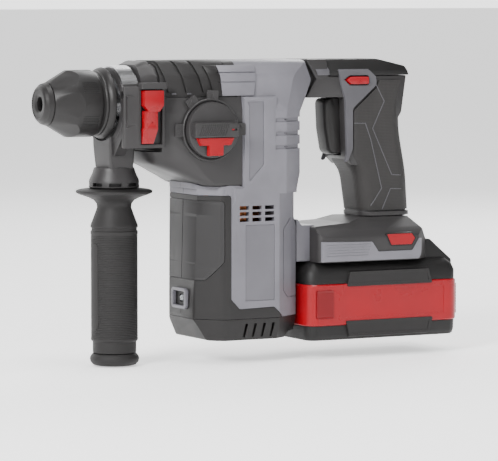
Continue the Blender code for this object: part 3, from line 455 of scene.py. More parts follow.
def texture(tree, kind, coords, **inputs):
    made = put(node(tree, kind), **inputs)
    tree.links.new(coords, made.inputs["Vector"])
    return made


def spread(tree, source, low, high):
    """Turns a texture's 0 to 1 into low to high."""
    made = put(node(tree, "ShaderNodeMapRange"), From_Min=0.3, From_Max=0.7, To_Min=low, To_Max=high)
    tree.links.new(source, made.inputs["Value"])
    return made.outputs["Result"]


def bumps(tree, height, strength, distance, under=None):
    made = put(node(tree, "ShaderNodeBump"), Strength=strength, Distance=distance * MM)
    tree.links.new(height, made.inputs["Height"])
    if under is not None:
        tree.links.new(under, made.inputs["Normal"])
    return made.outputs["Normal"]


def edge_highlight_mask(tree, radius):
    """How sharply the surface turns within a radius, as 0 on flat faces and 1 on edges; it places the painted
    highlights along the edges.
    """
    round_off = put(node(tree, "ShaderNodeBevel", samples=4), Radius=radius * MM)
    geometry = node(tree, "ShaderNodeNewGeometry")
    dot = node(tree, "ShaderNodeVectorMath", operation="DOT_PRODUCT")
    tree.links.new(round_off.outputs["Normal"], dot.inputs[0])
    tree.links.new(geometry.outputs["Normal"], dot.inputs[1])
    made = put(node(tree, "ShaderNodeMapRange"), From_Min=0.995, From_Max=0.86)
    tree.links.new(dot.outputs["Value"], made.inputs["Value"])
    return made.outputs["Result"]


def surface(
    name, colour, roughness, grain=1400.0, depth=0.03, edge_highlight=0.35, metallic=0.0, pattern=None, stretch=None
):
    """A moulded or machined surface: slightly varied colour, fine grain, uneven gloss and painted highlights
    that lighten the edges.
    """
    material = bpy.data.materials.new(name)
    material.use_nodes = True
    tree = material.node_tree
    shader = put(tree.nodes["Principled BSDF"], Metallic=metallic, Specular_IOR_Level=0.32)
    coords = node(tree, "ShaderNodeTexCoord").outputs["Object"]
    if stretch:
        mapping = put(node(tree, "ShaderNodeMapping"), Scale=stretch)
        tree.links.new(coords, mapping.inputs["Vector"])
        coords = mapping.outputs["Vector"]
    fine = texture(tree, "ShaderNodeTexNoise", coords, Scale=grain, Detail=2.0)
    broad = texture(tree, "ShaderNodeTexNoise", coords, Scale=38.0, Detail=4.0)

    darker = (*[c * 0.90 for c in colour], 1.0)
    lighter = (*[min(c * 1.10, 1.0) for c in colour], 1.0)
    tint = put(node(tree, "ShaderNodeMix", data_type="RGBA"), A=darker, B=lighter)
    tree.links.new(spread(tree, broad.outputs["Fac"], 0.0, 1.0), tint.inputs["Factor"])
    # Painted highlight: along the edges the colour is lightened towards this one, as far as the edge mask and
    # the given strength say.
    highlight_colour = (*[min(c * 1.5 + 0.03, 1.0) for c in colour], 1.0)
    highlighted = put(node(tree, "ShaderNodeMix", data_type="RGBA"), B=highlight_colour)
    tree.links.new(tint.outputs["Result"], highlighted.inputs["A"])
    amount = node(tree, "ShaderNodeMath", operation="MULTIPLY")
    amount.inputs[1].default_value = edge_highlight
    tree.links.new(edge_highlight_mask(tree, 0.5), amount.inputs[0])
    tree.links.new(amount.outputs["Value"], highlighted.inputs["Factor"])
    tree.links.new(highlighted.outputs["Result"], shader.inputs["Base Color"])

    gloss = spread(tree, broad.outputs["Fac"], roughness - 0.05, roughness + 0.05)
    tree.links.new(gloss, shader.inputs["Roughness"])
    normal = bumps(tree, fine.outputs["Fac"], 0.35, depth)
    if pattern:
        normal = pattern(tree, coords, normal)
    tree.links.new(normal, shader.inputs["Normal"])
    return material


def grid_pattern(pitch, height):
    """Small square pads, as moulded into a soft grip."""
    def build(tree, coords, normal):
        for direction in ("X", "Z"):
            wave = texture(tree, "ShaderNodeTexWave", coords, Scale=math.tau / 20.0 / (pitch * MM))
            wave.bands_direction = direction
            normal = bumps(tree, wave.outputs["Fac"], 0.6, height, normal)
        return normal
    return build


def glass(name):
    material = bpy.data.materials.new(name)
    material.use_nodes = True
    tree = material.node_tree
    clear = (0.85, 0.88, 0.92, 1.0)
    shader = put(tree.nodes["Principled BSDF"], Base_Color=clear, Transmission_Weight=0.75, IOR=1.49)
    coords = node(tree, "ShaderNodeTexCoord").outputs["Object"]
    haze = texture(tree, "ShaderNodeTexNoise", coords, Scale=300.0)
    tree.links.new(spread(tree, haze.outputs["Fac"], 0.08, 0.18), shader.inputs["Roughness"])
    return material


def make_materials():
    light = (0.150, 0.146, 0.165)
    # Each material's edges are lightened as painted highlights, by the strength given to it.
    return {
        "light": surface("light_plastic", light, 0.42, edge_highlight=0.30),
        "panel": surface("panel_plastic", tuple(c * 0.80 for c in light), 0.50, edge_highlight=0.2),
        "case": surface("case_plastic", (0.027, 0.0255, 0.026), 0.44),
        "dark": surface("dark_plastic", (0.012, 0.011, 0.011), 0.44),
        "bezel": surface("bezel_plastic", (0.072, 0.070, 0.078), 0.42),
        "black": surface("black_plastic", (0.007, 0.0065, 0.0065), 0.50),
        "rubber": surface("soft_rubber", (0.014, 0.013, 0.013), 0.62, grain=900.0, depth=0.06),
        "cover": surface("cover_rubber", (0.022, 0.021, 0.0215), 0.54, grain=900.0, depth=0.05),
        "grip": surface("grip_rubber", (0.022, 0.0205, 0.020), 0.58, pattern=grid_pattern(1.1, 0.10)),
        "red": surface("red_plastic", (0.27, 0.001, 0.006), 0.30, edge_highlight=0.25, depth=0.015),
        "deep_red": surface("red_plastic_recessed", (0.17, 0.001, 0.004), 0.46, edge_highlight=0.2),
        "steel": surface(
            "bright_steel", (0.50, 0.50, 0.51), 0.24, 700.0, 0.01, 0.2, 1.0, stretch=(0.12, 1.0, 1.0)
        ),
        "dark_steel": surface("dark_steel", (0.16, 0.16, 0.17), 0.36, 500.0, 0.02, 0.3, 1.0),
        "copper": surface("copper_winding", (0.56, 0.20, 0.08), 0.38, 300.0, 0.10, 0.2, 1.0),
        "board": surface("circuit_board", (0.01, 0.10, 0.03), 0.42, 260.0, 0.05),
        "cells": surface("cell_wrap", (0.04, 0.18, 0.28), 0.35, 120.0, 0.03),
        "lens": glass("clear_lens"),
    }


SLOT_LOOK = {
    "light_grey_plastic": "light",
    "dark_grey_plastic": "dark",
    "black_plastic": "black",
    "soft_rubber": "rubber",
    "red_plastic": "red",
    "bright_steel": "steel",
    "dark_steel": "dark_steel",
    "copper_winding": "copper",
    "circuit_board": "board",
    "cells": "cells",
    "clear_lens": "lens",
}
LOOKS = make_materials()


def done(obj, body, look, *nodes, slot=None, angle=34):
    """Finishes a piece: shading, material, the body it rides on and the CAD nodes it stands for."""
    obj.data.materials.clear()
    obj.data.materials.append(LOOKS[look])
    obj.data.shade_smooth()
    obj.data.set_sharp_from_angle(angle=math.radians(angle))
    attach(obj, body)
    if nodes:
        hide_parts(*nodes)
    return obj


# ---------------------------------------------------------------- chuck


def make_chuck():
    cap = turned(
        "nose_cap",
        [
            (0.4, 10.2), (0.0, 10.6), (0.0, 11.2), (1.0, 12.8), (2.4, 13.7), (2.8, 14.4), (5.8, 15.4),
            (6.3, 15.2), (6.3, 9.0), (4.0, 9.0), (4.0, TOOL_BORE), (1.6, TOOL_BORE), (0.6, 6.4), (0.4, 7.0),
        ],
    )
    done(cap, "spindle", "dark", "dust_cap", slot="soft_rubber")

    ribs = 120
    profile = [
        (6.7, 15.4), (7.2, 15.8), (21.0, SLEEVE_R), (22.6, SLEEVE_R + 0.2), (39.4, SLEEVE_R + 0.2),
        (40.3, SLEEVE_R - 0.2), (41.2, 22.8), (43.0, 22.6), (43.6, 23.2), (44.4, 23.4), (45.2, 23.2),
        (46.0, 24.2), (48.0, 25.4), (49.4, 25.6), (50.0, 25.2), (50.0, 22.0), (27.0, 20.0), (27.0, 13.2),
        (12.0, 13.2), (12.0, 9.2), (6.7, 9.2),
    ]
    sleeve = turned("chuck_sleeve", profile, sides=3 * ribs)
    for k in range(6):
        turn = Matrix.Rotation(math.radians(60 * k + 30), 4, "X")
        flat = box("flat", (BIT_SEAT - 16.0, -14.5, 0.0), (BIT_SEAT + 16.0, 14.5, 10.0))
        flat.data.transform(
            turn @ Matrix.Translation(at(14.0, 0.0, 18.6)) @ Matrix.Rotation(math.radians(-24), 4, "Y")
        )
        cut(sleeve, flat)
    for k in range(6):
        turn = Matrix.Rotation(math.radians(60 * k), 4, "X")
        for j in range(7):
            fine = box("rib", (25.5, -0.28, SLEEVE_R - 0.15), (38.0, 0.28, SLEEVE_R + 3.0))
            fine.data.transform(turn @ Matrix.Rotation(math.radians(3.1 * (j - 3)), 4, "X"))
            cut(sleeve, fine)
    done(sleeve, "locking_sleeve", "dark", "locking_sleeve", angle=24)

    low, high, wire = 28.2, 48.3, 0.9
    spring = coil("chuck_spring", low, high, 15.8, wire, turns=5)
    done(spring, "spindle", "steel", "sleeve_spring")
    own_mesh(spring)


# ---------------------------------------------------------------- side handle


def make_side_handle():
    band = turned(
        "steel_band",
        [(55.2, 26.4), (55.5, 26.8), (67.6, 26.8), (67.9, 26.4), (67.9, NECK_R + 0.3), (55.2, NECK_R + 0.3)],
        sides=128,
    )
    done(band, "side_handle", "steel", "clamp_band")

    inner = 27.1
    saddle = turned(
        "saddle",
        [(51.6, 31.6), (52.4, 32.2), (68.6, 32.2), (69.2, 31.6), (69.2, inner), (51.6, inner)],
        sides=128,
    )
    keep(
        saddle,
        prism(
            "saddle_room",
            [(-50, -50, 0), (30, -50, 0), (30, -12, 0), (0.5, -12, 0), (-8, 14, 0), (-50, 14, 0)],
            "X", 40, 80,
        ),
    )
    rings = []
    for z, front, rear, half, radius in (
        (-24.0, 49.2, 69.4, 14.6, 1.5),
        (-30.0, 49.2, 69.4, 14.4, 1.5),
        (-38.0, 49.6, 69.2, 13.6, 1.5),
        (-46.5, 50.4, 68.6, 13.0, 1.5),
    ):
        corners = rect(front, -half, rear, half, radius)
        rings.append([at(x, y, z) for x, y in rounded(corners, 4)])
    bracket = loft("bracket", rings)
    collar = turned(
        "collar",
        [
            (-60.4, 0.0), (-60.4, 17.6), (-59.8, 18.2), (-57.0, 18.2), (-54.6, 17.8), (-50.0, 15.6),
            (-46.2, 14.4), (-45.8, 0.0),
        ],
        "Z",
        (GRIP_X, 0.0, 0.0),
        closed=False,
    )
    pod = prism(
        "pod",
        [
            (50.2, -34.0, 2.0), (60.5, -38.0, 2.0), (81.6, -38.0, 1.0), (81.6, -33.8, 0.5),
            (69.0, -33.8, 0.0), (69.0, -22.0, 0.0), (54.0, -22.0, 0.0),
        ],
        "Z", -31.0, 12.4,
    )
    brow = prism(
        "brow",
        [(60.9, -43.0, 1.0), (81.2, -43.0, 2.0), (81.2, -34.6, 0.5), (60.9, -34.6, 0.5)],
        "Z", 10.9, 15.2,
    )
    web = prism(
        "web",
        [
            (-37.6, 6.0, 1.0), (-37.6, -14.0, 2.0), (-15.0, -38.0, 1.0), (-10.0, -30.0, 0.0),
            (-24.0, -16.0, 0.0), (-27.5, 6.0, 0.0),
        ],
        "X", 52.0, 60.4,
    )
    fuse(bracket, saddle, pod, brow, web, collar)
    cut(
        bracket,
        rod("band_room", "X", (40.0, 0.0, 0.0), 60.0, inner, 96),
        rod("bolt_way", "Z", (GRIP_X, 0.0, -70.0), 60.0, 4.4),
        rod("bolt_head_room", "Z", (GRIP_X, 0.0, -31.4), 20.0, 6.5),
        rod("rod_way", "X", (40.0, -30.4, 6.0), 60.0, 3.4),
        box("button_room", (62.2, -60.0, -28.6), (79.2, -34.9, 10.6)),
        rod("swing_room", "X", (69.05, 0.0, 0.0), 40.0, SWING_R + 0.35, 96),
    )
    for k in range(8):
        window = box("collar_window", (BIT_SEAT + 14.0, -4.4, -59.2), (BIT_SEAT + 24.0, 4.4, -56.6))
        turn = Matrix.Rotation(math.tau * (k + 0.5) / 8, 4, "Z")
        window.data.transform(Matrix.Translation(at(GRIP_X, 0.0, 0.0) - at(BIT_SEAT, 0.0, 0.0)) @ turn)
        cut(bracket, window)
    done(bracket, "side_handle", "case", "side_bracket")

    pad = plate(
        "stop_button",
        [
            (62.8, 10.2, 1.2), (78.8, 10.2, 1.2), (78.8, -1.0, 1.0), (75.4, -5.5, 0.6), (66.8, -5.5, 0.6),
            (62.8, -1.0, 1.0),
        ],
        "Y", -37.7, -42.2, 0.5,
    )
    slab = plate("stop_slab", rect(63.2, -4.5, 74.4, -18.4, 0.8), "Y", -37.7, -41.2, 0.4)
    foot = loft(
        "stop_foot",
        [
            [at(62.8, -41.0, -17.0), at(74.4, -41.0, -17.0), at(74.4, -37.7, -17.0), at(62.8, -37.7, -17.0)],
            [at(62.8, -38.9, -27.8), at(71.6, -38.9, -27.8), at(71.6, -37.7, -27.8), at(62.8, -37.7, -27.8)],
        ],
    )
    fuse(pad, slab, foot)
    cut(pad, rod("pin_hole", "Y", (70.0, -45.0, -12.6), 5.0, 0.6, 24))
    soften(pad, 0.35, 2)
    done(pad, "depth_stop_button", "red", "depth_stop_button")

    ribs = []
    count = 60
    for k in range(count):
        z = -168.6 + 1.24 * k
        ribs += [(z, 16.95), (z + 0.42, 16.95), (z + 0.62, 16.6), (z + 1.04, 16.6)]
    grip = turned(
        "grip_sleeve",
        [(-179.0, 15.2), (-178.6, 15.7), (-171.0, 15.7), (-170.2, 16.6), (-169.4, 17.0)]
        + ribs
        + [
            (-93.6, 17.0), (-91.6, 17.0), (-91.0, 16.3), (-89.4, 16.3), (-88.8, 17.0), (-87.2, 17.0),
            (-86.2, 16.6), (-80.0, 14.2), (-74.6, 12.3), (-72.0, 12.6), (-69.4, 14.6), (-67.4, 18.6),
            (-65.4, 24.6), (-64.2, 27.2), (-63.2, 27.6), (-62.4, 27.2), (-61.8, 25.6), (-61.0, 20.0),
            (-61.0, 4.4), (-112.0, 4.4), (-112.0, 9.0), (-179.0, 9.0),
        ],
        "Z",
        (GRIP_X, 0.0, 0.0),
        sides=112,
    )
    panel = prism("panel", rect(-3.6, -100.0, 3.6, -162.0, 3.4), "X", 30.0, GRIP_X)
    turn = Matrix.Translation(at(GRIP_X, 0.0, 0.0)) @ Matrix.Rotation(math.radians(8), 4, "Z")
    panel.data.transform(turn @ Matrix.Translation(-at(GRIP_X, 0.0, 0.0)))
    keep(panel, rod("panel_skin", "Z", (GRIP_X, 0.0, -170.0), 80.0, 17.05, 112))
    fuse(grip, panel)
    done(grip, "side_grip", "rubber", "side_grip", angle=40)

    cap = turned(
        "grip_end",
        [
            (-188.0, 0.0), (-188.0, 13.6), (-187.4, 15.6), (-185.6, 17.2), (-183.6, 17.8), (-181.8, 17.5),
            (-180.0, 16.2), (-179.35, 15.6), (-179.35, 8.6), (-160.0, 8.6), (-160.0, 0.0),
        ],
        "Z",
        (GRIP_X, 0.0, 0.0),
        closed=False,
    )
    done(cap, "side_grip", "rubber", "grip_end_cap", angle=50, slot="black_plastic")


# ---------------------------------------------------------------- gear case


def body_section(gap=0.0):
    corners = [
        (-HALF, -70.0, 0.0), (HALF, -70.0, 0.0), (HALF, -6.0, 14.0), (31.5, 19.0, 12.0), (21.0, TOP, 12.0),
        (-21.0, TOP, 12.0), (-31.5, 19.0, 12.0), (-HALF, -6.0, 14.0),
    ]
    return inset(corners, gap)


CASE_HALF = [(69.5, 26.6), (76.0, 29.4), (84.0, 32.2), (98.0, HALF), (150.0, HALF)]
CASE_LOW = [(69.5, -29.0), (77.5, -42.5), (118.0, CASE_BOTTOM), (150.0, CASE_BOTTOM)]
CASE_HIGH = [(69.5, 27.0), (75.0, TOP), (150.0, TOP)]
BELLY = [(69.5, 12.0), (88.0, 20.0), (104.0, 15.0), (120.0, 3.0), (150.0, 1.5)]


def case_solid(name, gap=0.0, front=69.5, rear=CASE_REAR):
    """The gear case as sections along the spindle, with a rounded belly that flattens towards the rear."""
    rings = []
    steps = 30
    for k in range(steps + 1):
        x = front + gap + (rear - front - gap) * k / steps
        half = track(CASE_HALF, x) - gap
        low = track(CASE_LOW, x, 2.0) + gap
        high = track(CASE_HIGH, x, 2.0) - gap
        belly = max(track(BELLY, x) - gap, 0.5)
        corners = [
            (-half, low, belly), (half, low, belly), (half, -6.0, 14.0), (half * 0.85, high * 0.64, 11.0),
            (half * 0.57, high, 10.0), (-half * 0.57, high, 10.0), (-half * 0.85, high * 0.64, 11.0),
            (-half, -6.0, 14.0),
        ]
        rings.append([at(x, y, z) for y, z in rounded(corners, 8)])
    return loft(name, rings)


def side_zone(name, corners):
    """A zone of the side view, across the whole width."""
    return prism(name, corners, "Y", -70.0, 70.0)


def make_gear_case():
    zone = [(83.0, 4.5, 0.0), (140.0, 4.5, 0.0), (131.0, 45.0, 0.0), (75.5, 45.0, 0.0)]
    case = case_solid("gear_case_shell")
    room = side_zone("bumper_room", inset(zone, -GAP))
    cut(room, case_solid("bumper_core", 2.4))
    swing = box("swing", (60.0, -60.0, -34.5), (SWING_END, 60.0, 60.0))
    cut(swing, rod("swing_core", "X", (40.0, 0.0, 0.0), 60.0, SWING_R, 96))
    inside = case_solid("case_inside", 5.0, rear=160.0)
    swing_wall = box("swing_wall", (60.0, -60.0, -36.5), (SWING_END + 2.0, 60.0, 60.0))
    cut(swing_wall, rod("swing_wall_core", "X", (40.0, 0.0, 0.0), 60.0, SWING_R - 2.0, 96))
    cut(inside, swing_wall)
    cut(
        case,
        inside,
        box("floor_mouth", (114.0, -26.0, -66.0), (150.0, 26.0, -50.0)),
        rod("front_bore", "X", (50.0, 0.0, 0.0), 40.0, 20.0),
        room, swing,
        rod("knob_hole", "Y", (KNOB_X, -50.0, KNOB_Z), 25.0, 6.4),
    )
    neck = turned(
        "neck",
        [
            (55.0, NECK_R - 0.4), (55.4, NECK_R), (70.0, NECK_R), (71.0, 26.4), (74.5, 26.4), (74.5, 20.0),
            (55.0, 20.0),
        ],
    )
    fuse(case, neck)
    done(case, "body", "case", "gear_case")

    bumper = case_solid("rubber_bumper")
    keep(bumper, side_zone("bumper_zone", zone))
    cut(
        bumper,
        case_solid("bumper_inside", 2.0),
        box("bumper_swing", (60.0, -60.0, -40.0), (SWING_END, 60.0, 60.0)),
    )
    for top, low in ((81.0, 86.0), (93.5, 99.0), (106.5, 112.5)):
        groove = side_zone(
            "groove", [(top, 34.0, 0.0), (top + 2.3, 34.0, 0.0), (low + 1.7, 7.6, 0.0), (low + 0.4, 7.6, 0.0)]
        )
        cut(groove, case_solid("groove_floor", 1.5))
        cut(bumper, groove)
    soften(bumper, 0.3, 2)
    done(bumper, "body", "rubber", "top_bumper")
    for x in (88.6, 100.6):
        mark = plate(f"bumper_mark_{x:.0f}", rect(x, 7.4, x + 3.4, 6.2, 0.3), "Y", -33.0, -34.75, 0.15)
        done(mark, "body", "bezel")


# ---------------------------------------------------------------- motor housing


def motor_side(gap=0.0):
    corners = [
        (CASE_REAR + GAP, TOP, 0.0), (202.0, TOP, 0.0), (211.0, 15.0, 3.0), (203.0, 1.5, 2.0),
        (MOTOR_REAR, -8.0, 5.0), (MOTOR_REAR, -52.0, 4.0), (192.6, -64.0, 3.0), (192.6, -84.0, 2.0),
        (MOTOR_REAR, -93.0, 3.0), (MOTOR_REAR, CAP_TOP, 0.0), (MOTOR_FRONT - 0.4, CAP_TOP, 0.0),
        (MOTOR_FRONT + 2.0, CASE_BOTTOM - GAP, 0.0), (CASE_REAR + GAP, CASE_BOTTOM - GAP, 0.0),
    ]
    return inset(corners, gap)


def symmetric(half):
    return [(x, -y, r) for x, y, r in half] + [(x, y, r) for x, y, r in reversed(half)]


def motor_plan(gap=0.0):
    half = [
        (112.0, 19.0, 9.0), (129.0, HALF, 12.0), (174.0, HALF, 1.6), (188.0, 28.0, 1.6),
        (MOTOR_REAR, 21.0, 3.0),
    ]
    return inset(symmetric(half), gap)


def upper_plan(gap=0.0):
    half = [(130.0, HALF, 0.0), (180.0, HALF, 4.0), (197.0, 26.0, 6.0), (214.0, 15.0, 2.0)]
    return inset(symmetric(half), gap)


def motor_solid(name, gap=0.0, edge=0.0):
    side = prism(name, motor_side(gap), "Y", -50.0, 50.0)
    tower = prism("tower", motor_plan(gap), "Z", -300.0, CASE_BOTTOM - 2.0)
    upper = prism("upper", body_section(gap), "X", 130.0, 216.0)
    keep(upper, prism("upper_plan", upper_plan(gap), "Z", -66.0, 60.0))
    fuse(tower, upper)
    keep(side, tower)
    return soften(side, edge) if edge else side


def cover_zone(gap=0.0):
    """The dark front cover in the side view, with its tail along the bottom of the housing."""
    corners = [
        (90.0, COVER_TOP, 0.0), (COVER_REAR, COVER_TOP, 2.0), (COVER_REAR, -141.5, 1.0), (141.4, -149.0, 1.0),
        (169.6, -148.2, 1.0), (177.4, -155.4, 0.5), (178.0, -158.0, 0.0), (90.0, -158.0, 0.0),
    ]
    return inset(corners, gap)


UPPER_PANEL = [
    (146.6, 0.6, 0.6), (160.4, 0.6, 0.6), (160.4, -45.0, 0.6), (148.6, -57.4, 0.6), (148.6, -3.0, 0.6),
]
BLANK_PANEL = rect(146.4, -88.2, 170.0, -143.2, 0.6)
REAR_SEAM = [(187.6, -85.0), (179.0, -92.5), (179.0, -137.0), (184.4, -142.2), (199.0, -142.2)]


def raised_frame(name):
    """The raised field around the upper panel, whose rear and lower edges slope down to the housing."""
    low = [
        (144.2, 4.0), (171.6, 4.0), (171.6, -45.6), (143.0, -73.6), (136.4, -73.6), (136.4, -60.8),
        (144.2, -60.8),
    ]
    high = [
        (145.0, 2.4), (167.4, 2.4), (167.4, -43.2), (140.0, -70.4), (137.2, -70.4), (137.2, -61.6),
        (145.0, -61.6),
    ]
    field = loft(
        name, [[at(x, y, z) for x, z in ring] for ring, y in ((low, -36.0), (low, -36.9), (high, -38.4))]
    )
    return cut(field, plate("upper_recess", UPPER_PANEL, "Y", -60.0, -37.7, 0.0))


def make_motor_housing():
    cover = motor_solid("front_cover", 0.0, 0.8)
    keep(cover, side_zone("cover_edges", cover_zone()))
    cut(cover, motor_solid("cover_inside", 1.85))
    grip_zone = [
        (90.0, -70.6, 0.0), (129.6, -70.6, 3.0), (129.6, -114.0, 3.0), (119.0, -127.6, 3.0),
        (90.0, -127.6, 0.0),
    ]
    panel_room = side_zone("panel_room", inset(grip_zone, -0.45))
    cut(panel_room, motor_solid("panel_floor", 0.9))
    pocket = prism("light_pocket", rect(-10.6, -149.0, 10.6, -135.2, 2.0), "X", 100.0, 120.0)
    seam = box("centre_seam", (100.0, -0.25, -153.0), (MOTOR_FRONT + 1.6, 0.25, -150.6))
    cut(cover, panel_room, pocket, seam)
    done(cover, "body", "dark", "motor_cover")

    panel = motor_solid("cover_grip_panel", -0.15)
    keep(panel, side_zone("panel_zone", grip_zone))
    cut(
        panel,
        motor_solid("panel_back", 1.5),
        box("panel_seam", (90.0, -0.3, -200.0), (MOTOR_FRONT + 2.6, 0.3, 0.0)),
    )
    ribbed(panel, "Z", -126.6, -72.0, 1.3, 0.28)
    done(panel, "body", "cover", angle=50)

    housing = motor_solid("housing", 0.0, 0.7)
    on_both_sides(raised_frame, housing, "raised_frame", "UNION")
    strip = prism("strip", motor_plan(0.3), "Z", -62.0, -55.8)
    keep(
        strip,
        side_zone(
            "strip_zone", [(100.0, -70.0, 0.0), (142.0, -70.0, 0.0), (142.0, -55.0, 0.0), (112.8, -55.0, 0.0)]
        ),
    )
    cut(strip, case_solid("strip_core", -0.4, 69.0, 150.0))
    fuse(housing, strip)
    room = side_zone("cover_room", cover_zone(-GAP))
    cut(room, motor_solid("cover_core", 2.2))
    vents = []
    for row in range(3):
        for column in range(3):
            x = 141.5 + 10.3 * column
            z = -77.2 - 4.3 * row
            vents.append(box("vent", (x, -45.0, z), (x + 7.6, -30.0, z + 2.8)))
            vents.append(box("vent", (x, 30.0, z), (x + 7.6, 45.0, z + 2.8)))
    cut(
        housing,
        room,
        motor_solid("housing_inside", 1.8 + WALL),
        box("front_mouth", (130.0, -31.0, -66.0), (150.0, 31.0, 20.0)),
        box("floor_mouth", (122.0, -28.0, -165.0), (184.0, 28.0, -140.0)),
        box("roof_mouth", (119.0, -26.0, -80.0), (150.0, 26.0, -50.0)),
        *vents,
    )
    on_both_sides(
        lambda name: plate(name, BLANK_PANEL, "Y", -60.0, -36.4, 0.0), housing, "blank_recess", "DIFFERENCE"
    )
    seam_floor = motor_solid("seam_floor", 0.75)
    seam_room = side_zone("seam_room", ribbon(REAR_SEAM, 0.55))
    cut(seam_room, seam_floor)
    cut(housing, seam_room)
    for z in (-11.4, -21.2, -31.0):
        notch = side_zone("notch", rect(170.6, z, 205.0, z - 3.2, 0.6))
        cut(notch, motor_solid("notch_floor", 1.1))
        cut(housing, notch)
    for side, half in halves(housing, "housing"):
        done(half, "body", "light", f"motor_housing_{side}")

    for side in SIDES:
        for label, corners, level in (("upper", UPPER_PANEL, -38.0), ("lower", BLANK_PANEL, -36.75)):
            insert = plate("insert", inset(corners, 0.12), "Y", level + 0.3 + 0.12, level, 0.25)
            insert = on_side(insert, f"{label}_panel_{side}", side == "right")
            done(insert, "body", "panel")
        for row in range(3):
            z = -12.4 - 9.8 * row
            # Painted shade: a black strip flush with each notch's floor stands in for the dark opening of a
            # slit.
            slot = box("slot", (178.4, -36.9, z - 0.9), (186.8, -34.0, z))
            keep(slot, motor_solid("slit_shade_skin", 1.1))
            slot = on_side(slot, f"slit_shade_{side}_{row}", side == "right")
            done(slot, "body", "black")


def make_side_blocks():
    """The long raised blocks on the shoulders, dark where they meet the bumper and light behind it."""
    outline = [(117.0, 26.6, 1.0), (158.5, 26.6, 1.0), (153.5, 5.0, 1.0), (121.5, 5.0, 1.0)]
    block = prism("block", body_section(-1.5), "X", 100.0, 170.0)
    keep(block, side_zone("block_zone", outline))
    cut(block, prism("block_back", body_section(0.3), "X", 90.0, 180.0))
    cut(block, box("block_middle", (90.0, -20.0, 0.0), (180.0, 20.0, 60.0)))
    for z in (21.4, 14.6):
        ridge = side_zone("ridge", rect(126.0, z + 0.5, 170.0, z - 0.5, 0.0))
        cut(ridge, prism("ridge_floor", body_section(-0.8), "X", 90.0, 180.0))
        cut(block, ridge)
    for name, low, high, look in (
        ("block_front", 100.0, 128.0, "dark"), ("block_rear", 128.05, 170.0, "light")
    ):
        for side, near, far in (("left", -60.0, 0.0), ("right", 0.0, 60.0)):
            piece = adopt(block.data.copy(), f"{name}_{side}")
            keep(piece, box("limits", (low, near, -10.0), (high, far, 60.0)))
            soften(piece, 0.5, 2)
            done(piece, "body", look)
    bpy.data.objects.remove(block)


def make_work_light():
    face = rect(-11.2, -149.6, 11.2, -134.6, 3.0)
    bezel = prism("light_bezel", face, "X", MOTOR_FRONT - 2.6, MOTOR_FRONT + 0.6)
    cut(bezel, prism("bezel_window", inset(face, 2.3), "X", 100.0, 130.0))
    soften(bezel, 0.5, 2)
    done(bezel, "body", "light", "work_light_bezel")
    cup = prism("light_cup", inset(face, 2.5), "X", MOTOR_FRONT + 0.2, MOTOR_FRONT + 4.0)
    lamp = turned(
        "lamp",
        [(-3.0, 0.0), (-3.0, 3.6), (2.0, 2.4), (2.0, 0.0)],
        "X",
        (MOTOR_FRONT + 1.0, 0.0, -142.1),
        closed=False,
    )
    cut(cup, lamp)
    done(cup, "body", "black")
    lens = turned(
        "light_lens",
        [(-1.4, 0.0), (-1.0, 1.6), (0.4, 2.2), (1.4, 2.3), (1.4, 0.0)],
        "X",
        (MOTOR_FRONT + 0.6, 0.0, -142.1),
        closed=False,
    )
    done(lens, "body", "lens", "work_light_lens", angle=60)


def make_end_cap():
    side = [
        (MOTOR_FRONT - 0.4, CAP_TOP - GAP, 0.0), (MOTOR_FRONT + 8.0, BASE, 3.0), (183.0, BASE, 2.0),
        (187.0, -167.4, 2.0), (MOTOR_REAR + 3.0, -167.0, 0.0), (MOTOR_REAR + 3.0, CAP_TOP - GAP, 0.0),
    ]
    cap = prism("base_cap", side, "Y", -50.0, 50.0)
    wedge = loft(
        "cap_taper",
        [
            [at(x, y, z) for x, y in rounded(inset(motor_plan(), gap), 6)]
            for z, gap in ((-150.0, 0.0), (-157.2, 0.0), (-161.0, 0.5), (-173.0, 3.4))
        ],
    )
    keep(cap, wedge)
    for k in range(4):
        x = 144.8 + 7.3 * k
        lean = [(x + 1.6, -159.4, 0.6), (x + 3.8, -159.4, 0.6), (x + 2.2, -169.6, 0.6), (x, -169.6, 0.6)]
        on_both_sides(lambda name: prism(name, lean, "Y", -50.0, -33.2), cap, "cap_slot", "DIFFERENCE")
    hollow = prism("cap_hollow", inset(motor_plan(), WALL + 2.4), "Z", -168.0, -140.0)
    keep(hollow, box("cap_hollow_limits", (122.0, -40.0, -168.0), (184.0, 40.0, -140.0)))
    cut(cap, hollow)
    done(cap, "body", "dark", "motor_end_cap")


# ---------------------------------------------------------------- mode knob


